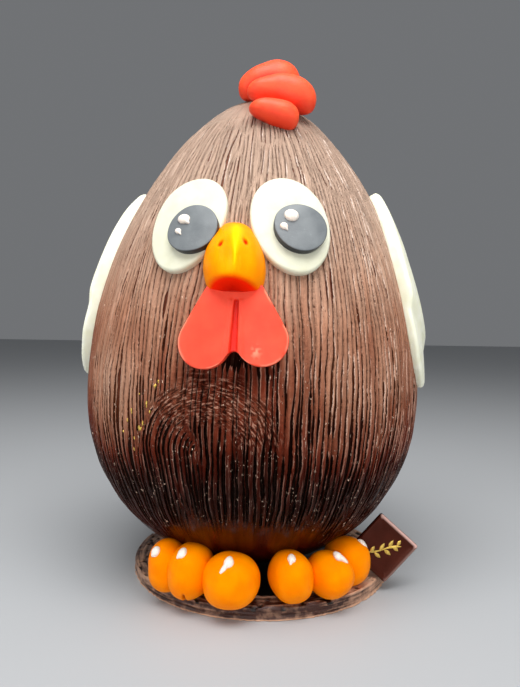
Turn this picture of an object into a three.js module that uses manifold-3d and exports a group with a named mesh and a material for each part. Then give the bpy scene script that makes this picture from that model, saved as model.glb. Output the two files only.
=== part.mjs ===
// A chocolate egg dressed as a chick: the egg stands on a chocolate disc, with fondant eyes, beak,
// wattle, comb, wings and toes laid on it, and a small chocolate plaque beside it.
// Millimetres, +Z up. The chick looks along -Y. The origin is the centre of the disc's underside.
import * as THREE from 'three';
import { mergeVertices } from 'three/addons/utils/BufferGeometryUtils.js';
import Module from 'manifold-3d';

const wasm = await Module();
wasm.setup();

// ---- Driving dimensions ------------------------------------------------------------------------

const gap = 0.35; // between pieces that touch

const egg = {
  radius: 79, // at the widest ring
  belly: 81.5, // height of the widest ring above the egg's bottom
  height: 221,
  taper: 0.213, // how much the upper half narrows towards the tip
  fullness: 0.074, // how much the lower half swells
  lean: 1.2, // degrees towards +X
  offset: [-6.7, -0.3], // from the disc's centre
  foot: 0.6, // height at which the bottom is melted flat
};
const disc = { radius: 61.8, thickness: 5.9, edge: 1 };

// A plate's place on the egg is its turn from the front in degrees and its height up the egg.
const whiteThickness = 2.8;
const whites = {
  left: { turn: -26.3, height: 156, middle: [1.5, -5.3], half: [15.6, 21.2], tilt: -3, point: 0.09 },
  right: { turn: 11.5, height: 157, middle: [0, -5.9], half: [15.4, 21.3], tilt: 9, point: 0.02 },
};
const pupil = { radius: 9.8, thickness: 2.8, bevel: 0.4 };
const pupils = {
  left: { turn: -20.5, height: 147.4 },
  right: { turn: 13.7, height: 148.9 },
};
const glints = {
  left: [
    { name: 'glint_left_large', at: [-3.6, 3.6], half: [2.5, 2], height: 1.4 },
    { name: 'glint_left_small', at: [-4.9, -1.4], half: [1.2, 1.1], height: 0.9 },
  ],
  right: [
    { name: 'glint_right_large', at: [-3.5, 4.2], half: [2.7, 2.5], height: 1.6 },
    { name: 'glint_right_small', at: [-6.4, -0.3], half: [1.4, 1.5], height: 0.9 },
  ],
};
const beak = { turn: -6.8, height: 144, top: 9, lip: -20.4, tipRise: 2, halfWidth: 11.8, reach: 14.5 };
const beakLean = { share: 0.08, about: -5.5 };
const wattle = {
  turn: -5.5,
  height: 117.5,
  thickness: 3.4,
  top: [9.6, 10.2], // half width and height of the straight top edge
  lobes: { left: { middle: [-10.2, -12.1], radius: 9.7 }, right: { middle: [10.8, -10.6], radius: 9.4 } },
  notch: [0.9, -14.6],
};
// body and feather are a wing's thickness at its shoulder and at its lower feather.
const wings = {
  left: { turn: -77, height: 129, side: -1, body: 6, feather: 5.2 },
  right: { turn: 59.5, height: 130.5, side: 1, body: 5, feather: 3.2 },
};
// Comb lobes: middle, half sizes across, deep and high, and the roll that lowers the right end.
const comb = [
  { name: 'comb_front', middle: [3, -35.6, 210.2], half: [10.6, 7.4, 5.8], roll: 19 },
  { name: 'comb_middle', middle: [6.7, -26.2, 221.9], half: [16, 9.4, 7.4], roll: 9 },
  { name: 'comb_back', middle: [1, -13.2, 231.4], half: [15, 11.2, 9.4], roll: -15 },
];
// Toes round the foot of the egg, from each foot's inner toe outwards: turn, distance from the egg's
// axis, half sizes across, along and high, and the nail's turn, rise and half width.
const feet = {
  left: [
    { turn: -5, reach: 59.6, half: [11.9, 11.9, 10.9], nail: [-3, 57, 2.6] },
    { turn: -23, reach: 56.6, half: [9, 11.2, 11.5], nail: [-6, 53, 2.3] },
    { turn: -35, reach: 57.5, half: [7.5, 9.2, 11.2], nail: [-2, 44, 2.1] },
  ],
  right: [
    { turn: 19, reach: 58.4, half: [8.8, 10.8, 10.6], nail: [-24, 60, 2.3] },
    { turn: 35, reach: 61.4, half: [9, 11, 9.7], nail: [12, 64, 2.2] },
    { turn: 49.5, reach: 58.4, half: [9, 10.6, 10.4], nail: [32, 52, 2] },
  ],
};
const toeNames = ['inner', 'middle', 'outer'];
const flatten = 0.04; // share of a toe's half height that is pressed flat on the disc
const plaque = { middle: [54.7, -32.6, 19.9], side: 22.4, thickness: 2.4, bevel: 0.5, lean: 3.4 };

const colours = {
  chocolate: 0x3a2019,
  discChocolate: 0x4a2c22,
  white: 0xfdfdf3,
  black: 0x3c4044,
  orange: 0xff9a0a,
  red: 0xf4543c,
  wing: 0xf8f8e4,
  icing: 0xf8efe6,
  plaque: 0x2c0f0a,
};

// ---- Surfaces and solids -----------------------------------------------------------------------

const degrees = THREE.MathUtils.degToRad;

/** The egg's radius at a height above its own bottom. */
function eggRadius(height) {
  const upper = height >= egg.belly;
  const share = upper ? (height - egg.belly) / (egg.height - egg.belly) : 1 - height / egg.belly;
  const swell = upper ? -egg.taper : egg.fullness;
  return egg.radius * Math.sqrt(Math.max(0, 1 - share * share)) * (1 + swell * share * share);
}

/** Moves a point from the egg's own upright frame to the part's frame. */
function standEgg(point) {
  point.applyAxisAngle(new THREE.Vector3(0, 1, 0), degrees(egg.lean));
  return point.add(new THREE.Vector3(egg.offset[0], egg.offset[1], disc.thickness));
}

/** The point at a turn (radians) and height, a distance out along the egg's normal. */
function onEgg(turn, height, out) {
  const step = 0.05;
  const slope = (eggRadius(height + step) - eggRadius(height - step)) / (2 * step);
  const lift = new THREE.Vector2(1, -slope).normalize().multiplyScalar(out);
  const radius = eggRadius(height) + lift.x;
  return standEgg(new THREE.Vector3(radius * Math.sin(turn), -radius * Math.cos(turn), height + lift.y));
}

/** A flat pattern laid on the egg: u runs round it, v up it and out away from it. */
function layOnEgg({ turn, height }) {
  const rise = 0.5;
  const slope = (eggRadius(height + rise) - eggRadius(height - rise)) / (2 * rise);
  const upright = 1 / Math.hypot(1, slope);
  return (u, v, out) => {
    const z = height + v * upright;
    return onEgg(degrees(turn) + u / eggRadius(z), z, out);
  };
}

/** A closed solid from its points and triangles, turned so that its faces point outwards. */
function solid(points, faces) {
  const [edge, across, normal] = [0, 0, 0].map(() => new THREE.Vector3());
  let volume = 0;
  for (const [a, b, c] of faces) {
    edge.copy(points[b]);
    across.copy(points[c]);
    volume += points[a].dot(normal.crossVectors(edge, across));
  }
  const turned = volume < 0 ? faces.map(([a, b, c]) => [a, c, b]) : faces;
  const geometry = new THREE.BufferGeometry();
  geometry.setAttribute('position', new THREE.Float32BufferAttribute(points.flatMap((p) => p.toArray()), 3));
  geometry.setIndex(turned.flat());
  return geometry;
}

/** Joins two rings of points, each given by its first index, with a band of triangles. */
function band(faces, lower, upper, count) {
  for (let i = 0; i < count; i += 1) {
    const next = (i + 1) % count;
    faces.push([lower + i, lower + next, upper + next], [lower + i, upper + next, upper + i]);
  }
}

/** Closes a ring of points onto one middle point. */
function fan(faces, middle, ring, count, flip) {
  for (let i = 0; i < count; i += 1) {
    const next = (i + 1) % count;
    faces.push(flip ? [middle, ring + next, ring + i] : [middle, ring + i, ring + next]);
  }
}

/** A plate: its outline shrinks to the middle in rings, and top(share, u, v) is its upper height. */
function plate(at, outline, middle, shares, top, floor = gap) {
  const points = [];
  const faces = [];
  const count = outline.length;
  const firsts = [];
  for (const height of [top, () => floor]) {
    firsts.push(points.length);
    points.push(at(...middle, height(0, ...middle)));
    for (const share of shares) {
      for (const [u, v] of outline) {
        const place = [middle[0] + (u - middle[0]) * share, middle[1] + (v - middle[1]) * share];
        points.push(at(...place, height(share, ...place)));
      }
    }
  }
  const [upper, lower] = firsts;
  fan(faces, upper, upper + 1, count, false);
  fan(faces, lower, lower + 1, count, true);
  for (let ring = 1; ring < shares.length; ring += 1) {
    const inner = 1 + (ring - 1) * count;
    band(faces, upper + inner + count, upper + inner, count);
    band(faces, lower + inner, lower + inner + count, count);
  }
  const rim = 1 + (shares.length - 1) * count;
  band(faces, lower + rim, upper + rim, count);
  return solid(points, faces);
}

/** An oval outline whose upper end is the blunter one when point is above 0. */
function oval({ middle = [0, 0], half, tilt = 0, point = 0 }, count) {
  return Array.from({ length: count }, (_, i) => {
    const angle = (2 * Math.PI * i) / count;
    const across = -half[0] * Math.sin(angle) * (1 + point * Math.cos(angle));
    const along = half[1] * Math.cos(angle);
    const turn = degrees(tilt);
    return [
      middle[0] + across * Math.cos(turn) - along * Math.sin(turn),
      middle[1] + across * Math.sin(turn) + along * Math.cos(turn),
    ];
  });
}

/** The height of a small dome of icing, which keeps a low wall at its rim. */
function domeHeight(share) {
  return Math.max(0.15, Math.sqrt(1 - share * share));
}

/** A ball of fondant as a geometry of the given half sizes, before it is placed. */
function ball(half, around, rows) {
  const geometry = new THREE.SphereGeometry(1, around, rows);
  geometry.rotateX(Math.PI / 2);
  return geometry.scale(...half);
}

/** A solid turned from a profile of [radius, height] pairs that starts and ends on the axis. */
function turned(profile, around) {
  const points = profile.map(([radius, height]) => new THREE.Vector2(radius, height));
  return new THREE.LatheGeometry(points, around).rotateX(Math.PI / 2);
}

/** The profile of the egg, grown outwards by a margin. */
function eggProfile(rows, margin = 0) {
  const profile = [[0, egg.foot - margin]];
  for (let i = 0; i <= rows; i += 1) {
    // Rows bunch at both ends, where the surface curves most.
    const share = (1 - Math.cos((Math.PI * i) / rows)) / 2;
    const height = THREE.MathUtils.lerp(egg.foot, egg.height, share);
    profile.push([Math.max(0, eggRadius(height)) + margin, height + (margin && (height / egg.height - 0.4) * margin)]);
  }
  if (margin) profile.push([0, egg.height + margin]);
  return profile;
}

/** Moves an upright egg geometry to its place on the disc. */
function placeEgg(geometry) {
  geometry.rotateY(degrees(egg.lean));
  return geometry.translate(egg.offset[0], egg.offset[1], disc.thickness);
}

/** Converts a closed geometry to a solid that can be cut. */
function toManifold(geometry) {
  const bare = geometry.clone();
  bare.deleteAttribute('normal');
  bare.deleteAttribute('uv');
  const merged = mergeVertices(bare, 1e-4);
  return new wasm.Manifold(new wasm.Mesh({
    numProp: 3,
    vertProperties: merged.attributes.position.array,
    triVerts: Uint32Array.from(merged.index.array),
  }));
}

/** Takes the cutters away from a piece. */
function cut(geometry, ...cutters) {
  let left = toManifold(geometry);
  for (const cutter of cutters) left = left.subtract(toManifold(cutter));
  const mesh = left.getMesh();
  const result = new THREE.BufferGeometry();
  result.setAttribute('position', new THREE.BufferAttribute(mesh.vertProperties, 3));
  result.setIndex(new THREE.BufferAttribute(mesh.triVerts, 1));
  return result;
}

const chick = new THREE.Group();

/** Adds one named piece with its own material. */
function add(name, geometry, color, roughness) {
  const mesh = new THREE.Mesh(geometry, new THREE.MeshStandardMaterial({ color, roughness, metalness: 0 }));
  mesh.name = name;
  chick.add(mesh);
}

// ---- Egg and disc ------------------------------------------------------------------------------

add('egg_body', placeEgg(turned(eggProfile(22), 36)), colours.chocolate, 0.45);
const eggCutter = placeEgg(turned(eggProfile(30, gap), 50));

/** The disc's profile with both edges rounded off, grown by a margin. */
function discProfile(margin = 0) {
  const radius = disc.radius + margin;
  const low = -margin;
  const high = disc.thickness + margin;
  return [
    [0, low],
    [radius - disc.edge / 2, low],
    [radius, low + disc.edge / 2],
    [radius, high - disc.edge],
    [radius - disc.edge, high],
    [0, high],
  ];
}
add('base_disc', turned(discProfile(), 56), colours.discChocolate, 0.5);
const discCutter = turned(discProfile(gap), 56);

// ---- Beak --------------------------------------------------------------------------------------

/** Half the beak's width at a share of the way from its top to its lip. */
function beakHalfWidth(share) {
  const fall = Math.sin(Math.min(1, share / 0.68) * Math.PI / 2) ** 0.55;
  const tuck = Math.max(0, share - 0.68) / 0.32;
  return beak.halfWidth * fall * (1 - 0.2 * tuck * tuck);
}

/**
 * The beak is lofted down the egg: each section is an arch over a ridge, closed along its back.
 * The arch ends higher in the middle, at the tip, so that the underside slopes back to the egg.
 * The whole leans a little to the left.
 */
function beakSolid(margin = 0) {
  const upright = layOnEgg(beak);
  const at = (u, v, out) => upright(u - beakLean.share * (v - beakLean.about), v, out);
  const sections = 7;
  const arch = 12;
  const points = [at(0, beak.top + margin, gap)];
  const faces = [];
  for (let i = 1; i <= sections; i += 1) {
    const share = i / sections;
    const low = beak.lip - margin;
    const width = beakHalfWidth(share) + margin;
    const ridge = beak.reach * Math.sin(share * Math.PI / 2) ** 0.8 + margin;
    for (let j = 0; j <= arch; j += 1) {
      const across = -Math.cos((Math.PI * j) / arch);
      const crown = 1 - Math.abs(across) ** 1.8;
      const v = THREE.MathUtils.lerp(beak.top, low + beak.tipRise * crown, share);
      points.push(at(across * width, v, Math.max(ridge * crown ** 0.62, 0) + (margin ? 0.1 : gap)));
    }
    for (let j = 1; j < arch; j += 1) {
      const across = Math.cos((Math.PI * j) / arch);
      const v = THREE.MathUtils.lerp(beak.top, low, share);
      points.push(at(across * width, v, margin ? 0 : gap));
    }
  }
  const count = 2 * arch;
  fan(faces, 0, 1, count, false);
  for (let i = 1; i < sections; i += 1) band(faces, 1 + i * count, 1 + (i - 1) * count, count);
  const last = 1 + (sections - 1) * count;
  points.push(at(0, beak.lip + beak.tipRise / 2 - margin, beak.reach * 0.5));
  fan(faces, points.length - 1, last, count, true);
  return solid(points, faces);
}
add('beak', beakSolid(), colours.orange, 0.55);
const beakCutter = beakSolid(gap);

// ---- Eyes --------------------------------------------------------------------------------------

for (const side of ['left', 'right']) {
  const white = whites[side];
  const sheet = plate(
    layOnEgg(white),
    oval(white, 28),
    white.middle,
    [0.45, 0.92, 1],
    (share) => gap + whiteThickness * (share === 1 ? 0.55 : 1),
  );
  add(`eye_white_${side}`, cut(sheet, beakCutter), colours.white, 0.5);

  const under = gap + whiteThickness + gap;
  const onPupil = layOnEgg(pupils[side]);
  const button = plate(
    onPupil,
    oval({ half: [pupil.radius, pupil.radius] }, 24),
    [0, 0],
    [0.6, 1 - pupil.bevel / pupil.radius, 1],
    (share) => under + pupil.thickness - (share === 1 ? pupil.bevel : 0),
    under,
  );
  add(`pupil_${side}`, cut(button, beakCutter), colours.black, 0.4);

  const face = under + pupil.thickness + gap;
  for (const glint of glints[side]) {
    const drop = plate(
      onPupil,
      oval({ middle: glint.at, half: glint.half }, 9),
      glint.at,
      [0.7, 1],
      (share) => face + glint.height * domeHeight(share),
      face,
    );
    add(glint.name, drop, colours.white, 0.4);
  }
}

// ---- Wattle ------------------------------------------------------------------------------------

/** The wattle's outline: an upside-down heart with its point cut straight under the beak. */
function wattleOutline(count) {
  const { top, notch, lobes } = wattle;
  const shoulder = degrees(31); // where a straight side runs into its lobe
  const inner = degrees(35); // where a lobe runs into the notch
  const { left, right } = lobes;
  const shape = new THREE.Path();
  shape.moveTo(...top);
  shape.lineTo(-top[0], top[1]);
  shape.absarc(...left.middle, left.radius, Math.PI - shoulder, 2 * Math.PI - inner, false);
  shape.quadraticCurveTo(notch[0] - 1.6, notch[1], ...notch);
  const end = [
    right.middle[0] - right.radius * Math.cos(inner),
    right.middle[1] - right.radius * Math.sin(inner),
  ];
  shape.quadraticCurveTo(notch[0] + 1.2, notch[1], ...end);
  shape.absarc(...right.middle, right.radius, Math.PI + inner, 2 * Math.PI + shoulder, false);
  shape.closePath();
  return shape.getSpacedPoints(count).slice(0, count).map((p) => [p.x, p.y]);
}
const wattlePlate = plate(
  layOnEgg(wattle),
  wattleOutline(42),
  [0.3, -6],
  [0.5, 0.93, 1],
  (share) => gap + wattle.thickness * (share === 1 ? 0.7 : 1),
);
add('wattle', cut(wattlePlate, beakCutter), colours.red, 0.5);

// ---- Wings -------------------------------------------------------------------------------------

/** A wing's outline: u runs backwards from its front edge, and three feather tips end its lower rear. */
function wingOutline(count, side) {
  const shape = new THREE.Path();
  shape.moveTo(16, 47);
  shape.bezierCurveTo(6, 38, 0, 18, 0, 0);
  shape.bezierCurveTo(0, -22, 4, -40, 19, -45.5);
  shape.bezierCurveTo(27, -47, 31, -36, 29, -25);
  shape.bezierCurveTo(34, -29, 40, -22, 38, -10);
  shape.bezierCurveTo(43, -12, 46, -4, 44, 8);
  shape.bezierCurveTo(42, 26, 34, 46, 16, 47);
  return shape.getSpacedPoints(count).slice(0, count).map((p) => [side * p.x, p.y]);
}
for (const [name, { turn, height, side, body, feather }] of Object.entries(wings)) {
  const sheet = plate(
    layOnEgg({ turn, height }),
    wingOutline(32, side),
    [side * 20, 2],
    [0.45, 0.85, 1],
    (share, u, v) => {
      const fold = THREE.MathUtils.smoothstep(v + 0.6 * Math.abs(u), -12, -2);
      const thick = THREE.MathUtils.lerp(feather, body, fold);
      return gap + thick * (share === 1 ? 0.5 : 1);
    },
  );
  add(`wing_${name}`, sheet, colours.wing, 0.5);
}

// ---- Comb --------------------------------------------------------------------------------------

const combCutters = [eggCutter];
for (const { name, middle, half, roll } of comb) {
  const place = (geometry) => geometry.rotateY(degrees(roll)).translate(...middle);
  add(name, cut(place(ball(half, 16, 9)), ...combCutters), colours.red, 0.5);
  combCutters.push(place(ball(half.map((size) => size + gap), 14, 9)));
}

// ---- Plaque ------------------------------------------------------------------------------------

/** A square tile standing on one corner and facing forwards, grown by a margin. */
function plaqueSolid(margin = 0) {
  const edge = plaque.side / 2 - plaque.bevel + margin;
  const square = new THREE.Shape();
  square.moveTo(-edge, -edge);
  square.lineTo(edge, -edge);
  square.lineTo(edge, edge);
  square.lineTo(-edge, edge);
  square.closePath();
  const depth = plaque.thickness - 2 * plaque.bevel + 2 * margin;
  const tile = new THREE.ExtrudeGeometry(square, {
    depth,
    bevelSize: plaque.bevel,
    bevelThickness: plaque.bevel,
    bevelSegments: 1,
  });
  return tile
    .translate(0, 0, -depth / 2)
    .rotateZ(degrees(45 + plaque.lean))
    .rotateX(Math.PI / 2)
    .translate(...plaque.middle);
}
add('plaque', plaqueSolid(), colours.plaque, 0.35);
const plaqueCutter = plaqueSolid(gap);

// ---- Toes and nails ----------------------------------------------------------------------------

/** Makes one toe with its nail, and returns the toe grown by the gap, as a cutter for the next one. */
function addToe(label, { turn, reach, half, nail }, inner) {
  const [across, along, high] = half;
  const angle = degrees(turn);
  const middle = new THREE.Vector3(
    egg.offset[0] + reach * Math.sin(angle),
    egg.offset[1] - reach * Math.cos(angle),
    disc.thickness + gap + high * (1 - flatten),
  );
  // The ball's x runs across the toe, its y inwards and its z up.
  const place = (geometry) => geometry.rotateZ(angle).translate(...middle);
  const toe = place(ball([across, along, high], 16, 9));
  add(`toe_${label}`, cut(toe, eggCutter, discCutter, plaqueCutter, ...inner), colours.orange, 0.5);

  // A nail is a drop of icing on the toe's upper front: u across it, v up it.
  const [nailTurn, rise, size] = nail;
  const round = across * Math.cos(degrees(rise));
  const sizes = new THREE.Vector3(across, along, high);
  const onToe = (u, v, out) => {
    const a = degrees(nailTurn) + u / round;
    const e = degrees(rise) + v / high;
    const point = new THREE.Vector3(Math.sin(a) * Math.cos(e), -Math.cos(a) * Math.cos(e), Math.sin(e));
    const normal = point.clone().divide(sizes).normalize();
    point.multiply(sizes).addScaledVector(normal, out);
    return point.applyAxisAngle(new THREE.Vector3(0, 0, 1), angle).add(middle);
  };
  const drop = plate(
    onToe,
    oval({ half: [size * 0.75, size * 1.5], point: 0.25 }, 9),
    [0, 0],
    [0.7, 1],
    (share) => gap + size * 0.75 * domeHeight(share),
  );
  add(`nail_${label}`, drop, colours.icing, 0.4);
  return place(ball([across + gap, along + gap, high + gap], 14, 9));
}

// The outer toes are pressed against the inner ones, and the two feet stand apart.
for (const [side, foot] of Object.entries(feet)) {
  let inner = [];
  foot.forEach((toe, index) => {
    inner = [addToe(`${side}_${toeNames[index]}`, toe, inner)];
  });
}

export default chick;
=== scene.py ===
"""A dark chocolate egg dressed as a chick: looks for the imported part, made piece by piece.

All shapes are worked out in millimetres in the part's own frame, +Z up, the chick looking along -Y.
"""
import math

import bmesh
import bpy
import numpy as np
from mathutils import Matrix, Vector


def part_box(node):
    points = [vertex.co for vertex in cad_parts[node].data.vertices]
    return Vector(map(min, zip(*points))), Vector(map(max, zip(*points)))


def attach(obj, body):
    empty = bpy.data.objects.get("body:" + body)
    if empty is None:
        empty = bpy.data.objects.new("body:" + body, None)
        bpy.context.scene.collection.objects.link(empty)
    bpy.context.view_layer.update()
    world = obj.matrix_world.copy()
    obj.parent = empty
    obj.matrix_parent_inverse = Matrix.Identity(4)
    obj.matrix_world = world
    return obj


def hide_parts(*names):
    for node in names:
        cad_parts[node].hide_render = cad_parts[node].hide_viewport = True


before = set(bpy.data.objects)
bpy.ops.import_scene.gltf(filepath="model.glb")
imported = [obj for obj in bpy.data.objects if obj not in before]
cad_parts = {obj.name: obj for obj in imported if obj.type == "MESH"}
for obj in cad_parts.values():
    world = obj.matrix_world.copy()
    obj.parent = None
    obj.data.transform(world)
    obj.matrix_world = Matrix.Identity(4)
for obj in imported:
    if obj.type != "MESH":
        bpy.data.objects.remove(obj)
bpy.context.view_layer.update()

# ---- Floor, light and camera -------------------------------------------------------------------
# A pale matt table top under one large soft lamp overhead, with weak lamps at the sides and front.
# The camera stands low, a little above the egg's belly, and looks slightly down.


def linear(colour):
    """A hex sRGB colour as linear red, green, blue and alpha."""
    channels = np.array([int(colour[i:i + 2], 16) for i in (1, 3, 5)]) / 255
    low = channels / 12.92
    high = ((channels + 0.055) / 1.055) ** 2.4
    return (*np.where(channels <= 0.04045, low, high).tolist(), 1.0)


def add_node(tree, kind, sockets, **settings):
    """Adds a shader node with its settings. Each socket gets a value, or a link where the value is
    another socket or node; a node is linked by the first output that it shows."""
    made = tree.nodes.new("ShaderNode" + kind)
    for name, value in settings.items():
        setattr(made, name, value)
    for socket, value in sockets.items():
        if isinstance(value, bpy.types.Node):
            value = next(output for output in value.outputs if output.enabled)
        if isinstance(value, bpy.types.NodeSocket):
            tree.links.new(value, made.inputs[socket])
        else:
            made.inputs[socket].default_value = value
    return made


def new_material(name):
    """An empty material with its output node, and its node tree."""
    material = bpy.data.materials.new(name)
    material.use_nodes = True
    tree = material.node_tree
    tree.nodes.clear()
    tree.nodes.new("ShaderNodeOutputMaterial")
    return material, tree


def finish_material(tree, shader):
    """Joins the surface shader to the material's output."""
    tree.links.new(shader.outputs[0], tree.nodes["Material Output"].inputs["Surface"])


TABLE_GREY = "#aeb0b2"
TABLE_SIZE = 6.0  # metres

bpy.ops.mesh.primitive_plane_add(size=TABLE_SIZE)
table = bpy.context.object
table.name = "table_top"
table_paint, table_tree = new_material("matt_table_paint")
finish_material(table_tree, add_node(
    table_tree, "BsdfPrincipled", {"Base Color": linear(TABLE_GREY), "Roughness": 0.6}
))
table.data.materials.append(table_paint)

LAMPS = {
    # name: place, size, power in watts
    "overhead_lamp": ((0.0, -0.3, 0.75), (0.7, 0.5), 8.6),
    "front_lamp": ((0.0, -1.0, 0.2), (0.7, 0.4), 2.6),
    "left_lamp": ((-0.9, -0.5, 0.35), (0.4, 0.5), 2.6),
    "right_lamp": ((0.9, -0.5, 0.35), (0.4, 0.5), 2.0),
}
LAMP_AIM = Vector((0, 0, 0.12))
for name, (place, size, power) in LAMPS.items():
    lamp = bpy.data.lights.new(name, "AREA")
    lamp.shape = "RECTANGLE"
    lamp.size, lamp.size_y = size
    lamp.energy = power
    lamp_object = bpy.data.objects.new(name, lamp)
    lamp_object.location = place
    lamp_object.rotation_euler = (LAMP_AIM - Vector(place)).to_track_quat("-Z", "Y").to_euler()
    lamp_object.visible_camera = False
    bpy.context.collection.objects.link(lamp_object)

ROOM_GREY = "#c9ccd0"
ROOM_STRENGTH = 0.28

world = bpy.data.worlds.new("studio")
bpy.context.scene.world = world
world.use_nodes = True
background = world.node_tree.nodes["Background"]
background.inputs["Color"].default_value = linear(ROOM_GREY)
background.inputs["Strength"].default_value = ROOM_STRENGTH

CAMERA_PLACE = (-0.0018, -0.2983, 0.1207)
CAMERA_DIP = math.radians(2.15)
CAMERA_ROLL = math.radians(0.86)
CAMERA_LENS = 31.44  # millimetres, on Blender's usual sensor

camera = bpy.data.cameras.new("camera")
camera.lens = CAMERA_LENS
camera.clip_start = 0.01
camera_object = bpy.data.objects.new("camera", camera)
bpy.context.collection.objects.link(camera_object)
across = Vector((1, 0, 0))
upward = Vector((0, math.sin(CAMERA_DIP), math.cos(CAMERA_DIP)))
tipped_across = across * math.cos(CAMERA_ROLL) + upward * math.sin(CAMERA_ROLL)
tipped_upward = upward * math.cos(CAMERA_ROLL) - across * math.sin(CAMERA_ROLL)
turned = Matrix((tipped_across, tipped_upward, tipped_across.cross(tipped_upward))).transposed()
camera_object.matrix_world = Matrix.Translation(CAMERA_PLACE) @ turned.to_4x4()
bpy.context.scene.camera = camera_object
bpy.context.scene.view_settings.view_transform = "Standard"

# ---- Egg ---------------------------------------------------------------------------------------
# The chocolate egg is two moulded half shells joined upright. A wire brush drawn up the set
# chocolate left ridges and grooves, with burrs where it broke them; the foot is left smooth.

EGG_RADIUS = 79.0  # at the widest ring
EGG_BELLY = 81.5  # height of the widest ring above the egg's bottom
EGG_HEIGHT = 221.0
EGG_TAPER = 0.213  # how much the upper half narrows towards the tip
EGG_FULLNESS = 0.074  # how much the lower half swells
EGG_LEAN = math.radians(1.2)  # the tip leans to the right
EGG_OFFSET = (-6.7, -0.3)  # the egg's foot from the disc's middle
EGG_FOOT = 0.6  # height of the lowest row, inside which the foot is closed
DISC_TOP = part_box("base_disc")[1].z * 1000


def egg_radius(height):
    """Two half ovals that meet at the belly, the upper one drawn in towards the tip."""
    upper = height >= EGG_BELLY
    share = np.where(upper, (height - EGG_BELLY) / (EGG_HEIGHT - EGG_BELLY), 1 - height / EGG_BELLY)
    swell = np.where(upper, -EGG_TAPER, EGG_FULLNESS)
    return EGG_RADIUS * np.sqrt(np.clip(1 - share**2, 0, None)) * (1 + swell * share**2)


def on_egg(turn, height, out):
    """The point at a turn and height, a distance out along the egg's normal, on the leaning egg."""
    turn, height, out = np.broadcast_arrays(turn, height, out)
    step = 0.05
    slope = (egg_radius(height + step) - egg_radius(height - step)) / (2 * step)
    length = np.hypot(1, slope)
    radius = egg_radius(height) + out / length
    x = radius * np.sin(turn)
    y = -radius * np.cos(turn)
    z = height - out * slope / length
    lean_x = x * math.cos(EGG_LEAN) + z * math.sin(EGG_LEAN)
    lean_z = z * math.cos(EGG_LEAN) - x * math.sin(EGG_LEAN)
    return np.stack([lean_x + EGG_OFFSET[0], y + EGG_OFFSET[1], lean_z + DISC_TOP], -1)


def lattice(i, j, seed):
    """A fixed number between 0 and 1 for each pair of whole numbers: the fraction left of a large
    multiple of the sine of their weighted sum."""
    mixed = np.sin(i * 127.1 + j * 311.7 + seed * 74.7) * 43758.5453
    return mixed - np.floor(mixed)


def drift(x, y, seed, period=None):
    """Smooth value noise between 0 and 1: lattice values at the corners of each cell, blended by a
    cubic step across it. It closes on itself after a period along x."""
    x, y = np.broadcast_arrays(np.asarray(x, float), np.asarray(y, float))
    i, j = np.floor(x), np.floor(y)
    s, t = x - i, y - j
    s, t = s * s * (3 - 2 * s), t * t * (3 - 2 * t)
    k = i + 1
    if period:
        i, k = i % period, k % period
    low = lattice(i, j, seed) * (1 - s) + lattice(k, j, seed) * s
    high = lattice(i, j + 1, seed) * (1 - s) + lattice(k, j + 1, seed) * s
    return low * (1 - t) + high * t


def ease(value, low, high):
    """Rises smoothly from 0 at low to 1 at high."""
    share = np.clip((value - low) / (high - low), 0, 1)
    return share * share * (3 - 2 * share)


def add_surface(name, points, material, flat_columns=(), **fields):
    """Makes an object from a grid of points in millimetres. Rows run along the piece and columns
    close round it; points that fall together are merged, which closes the poles."""
    rows, columns = points.shape[:2]
    first = np.arange(rows - 1)[:, None] * columns + np.arange(columns)
    beside = np.roll(first, -1, axis=1)
    faces = np.stack([first, beside, beside + columns, first + columns], -1).reshape(-1, 4)
    mesh = bpy.data.meshes.new(name)
    mesh.vertices.add(rows * columns)
    mesh.vertices.foreach_set("co", (points * 0.001).astype(np.float32).ravel())
    mesh.loops.add(faces.size)
    mesh.loops.foreach_set("vertex_index", faces.astype(np.int32).ravel())
    mesh.polygons.add(len(faces))
    mesh.polygons.foreach_set("loop_start", np.arange(0, faces.size, 4, dtype=np.int32))
    smooth = np.ones((rows - 1, columns), bool)
    smooth[:, list(flat_columns)] = False
    mesh.polygons.foreach_set("use_smooth", smooth.ravel())
    mesh.update(calc_edges=True)
    for field, values in fields.items():
        attribute = mesh.attributes.new(field, "FLOAT", "POINT")
        attribute.data.foreach_set("value", values.astype(np.float32).ravel())
    shape = bmesh.new()
    shape.from_mesh(mesh)
    bmesh.ops.remove_doubles(shape, verts=shape.verts, dist=2e-6)
    bmesh.ops.dissolve_degenerate(shape, edges=shape.edges, dist=1e-7)
    bmesh.ops.recalc_face_normals(shape, faces=shape.faces)
    shape.to_mesh(mesh)
    shape.free()
    piece = bpy.data.objects.new(name, mesh)
    bpy.context.collection.objects.link(piece)
    mesh.materials.append(material)
    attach(piece, "root")
    return piece


STROKES = 216  # ridges round the belly, about 2.3 mm apart
RIDGE = 0.5  # height of a ridge between two grooves
GROOVE = 0.6  # how far a crack is cut below that
SMOOTH_FOOT = 33.0  # height at which the brush was set down
WANDER = [  # the ridges' sideways wander: amount in ridges, waves round the egg, wavelength, seed
    (1.9, 30, 60, 1), (0.7, 90, 16, 2), (0.26, 200, 6, 8),
]
# The place the arch of strokes bends round, its pitch, and how far in and out it reaches.
ARCH = {"turn": math.radians(-12), "height": 63.0, "pitch": 2.2, "inner": 5, "outer": 30}
# A patch by the tip that the brush missed: its turn, and the heights between which it lies.
TIP_PATCH = {"turn": math.radians(-36), "low": (200, 206), "high": (212, 216)}
# Under the wattle's notch the cracks open wide and cut deep, and the patch is painted nearly black as
# the notch's painted shadow.
NOTCH_SHADOW = {"turn": math.radians(-5.5), "aside": 0.9, "height": 100.5, "half": (5.4, 3.6)}


def ring_drift(ring, along, waves, length, seed):
    """Smooth noise with so many cells round a whole turn, each so many millimetres long."""
    return drift(ring * waves, along / length, seed, waves)


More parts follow.
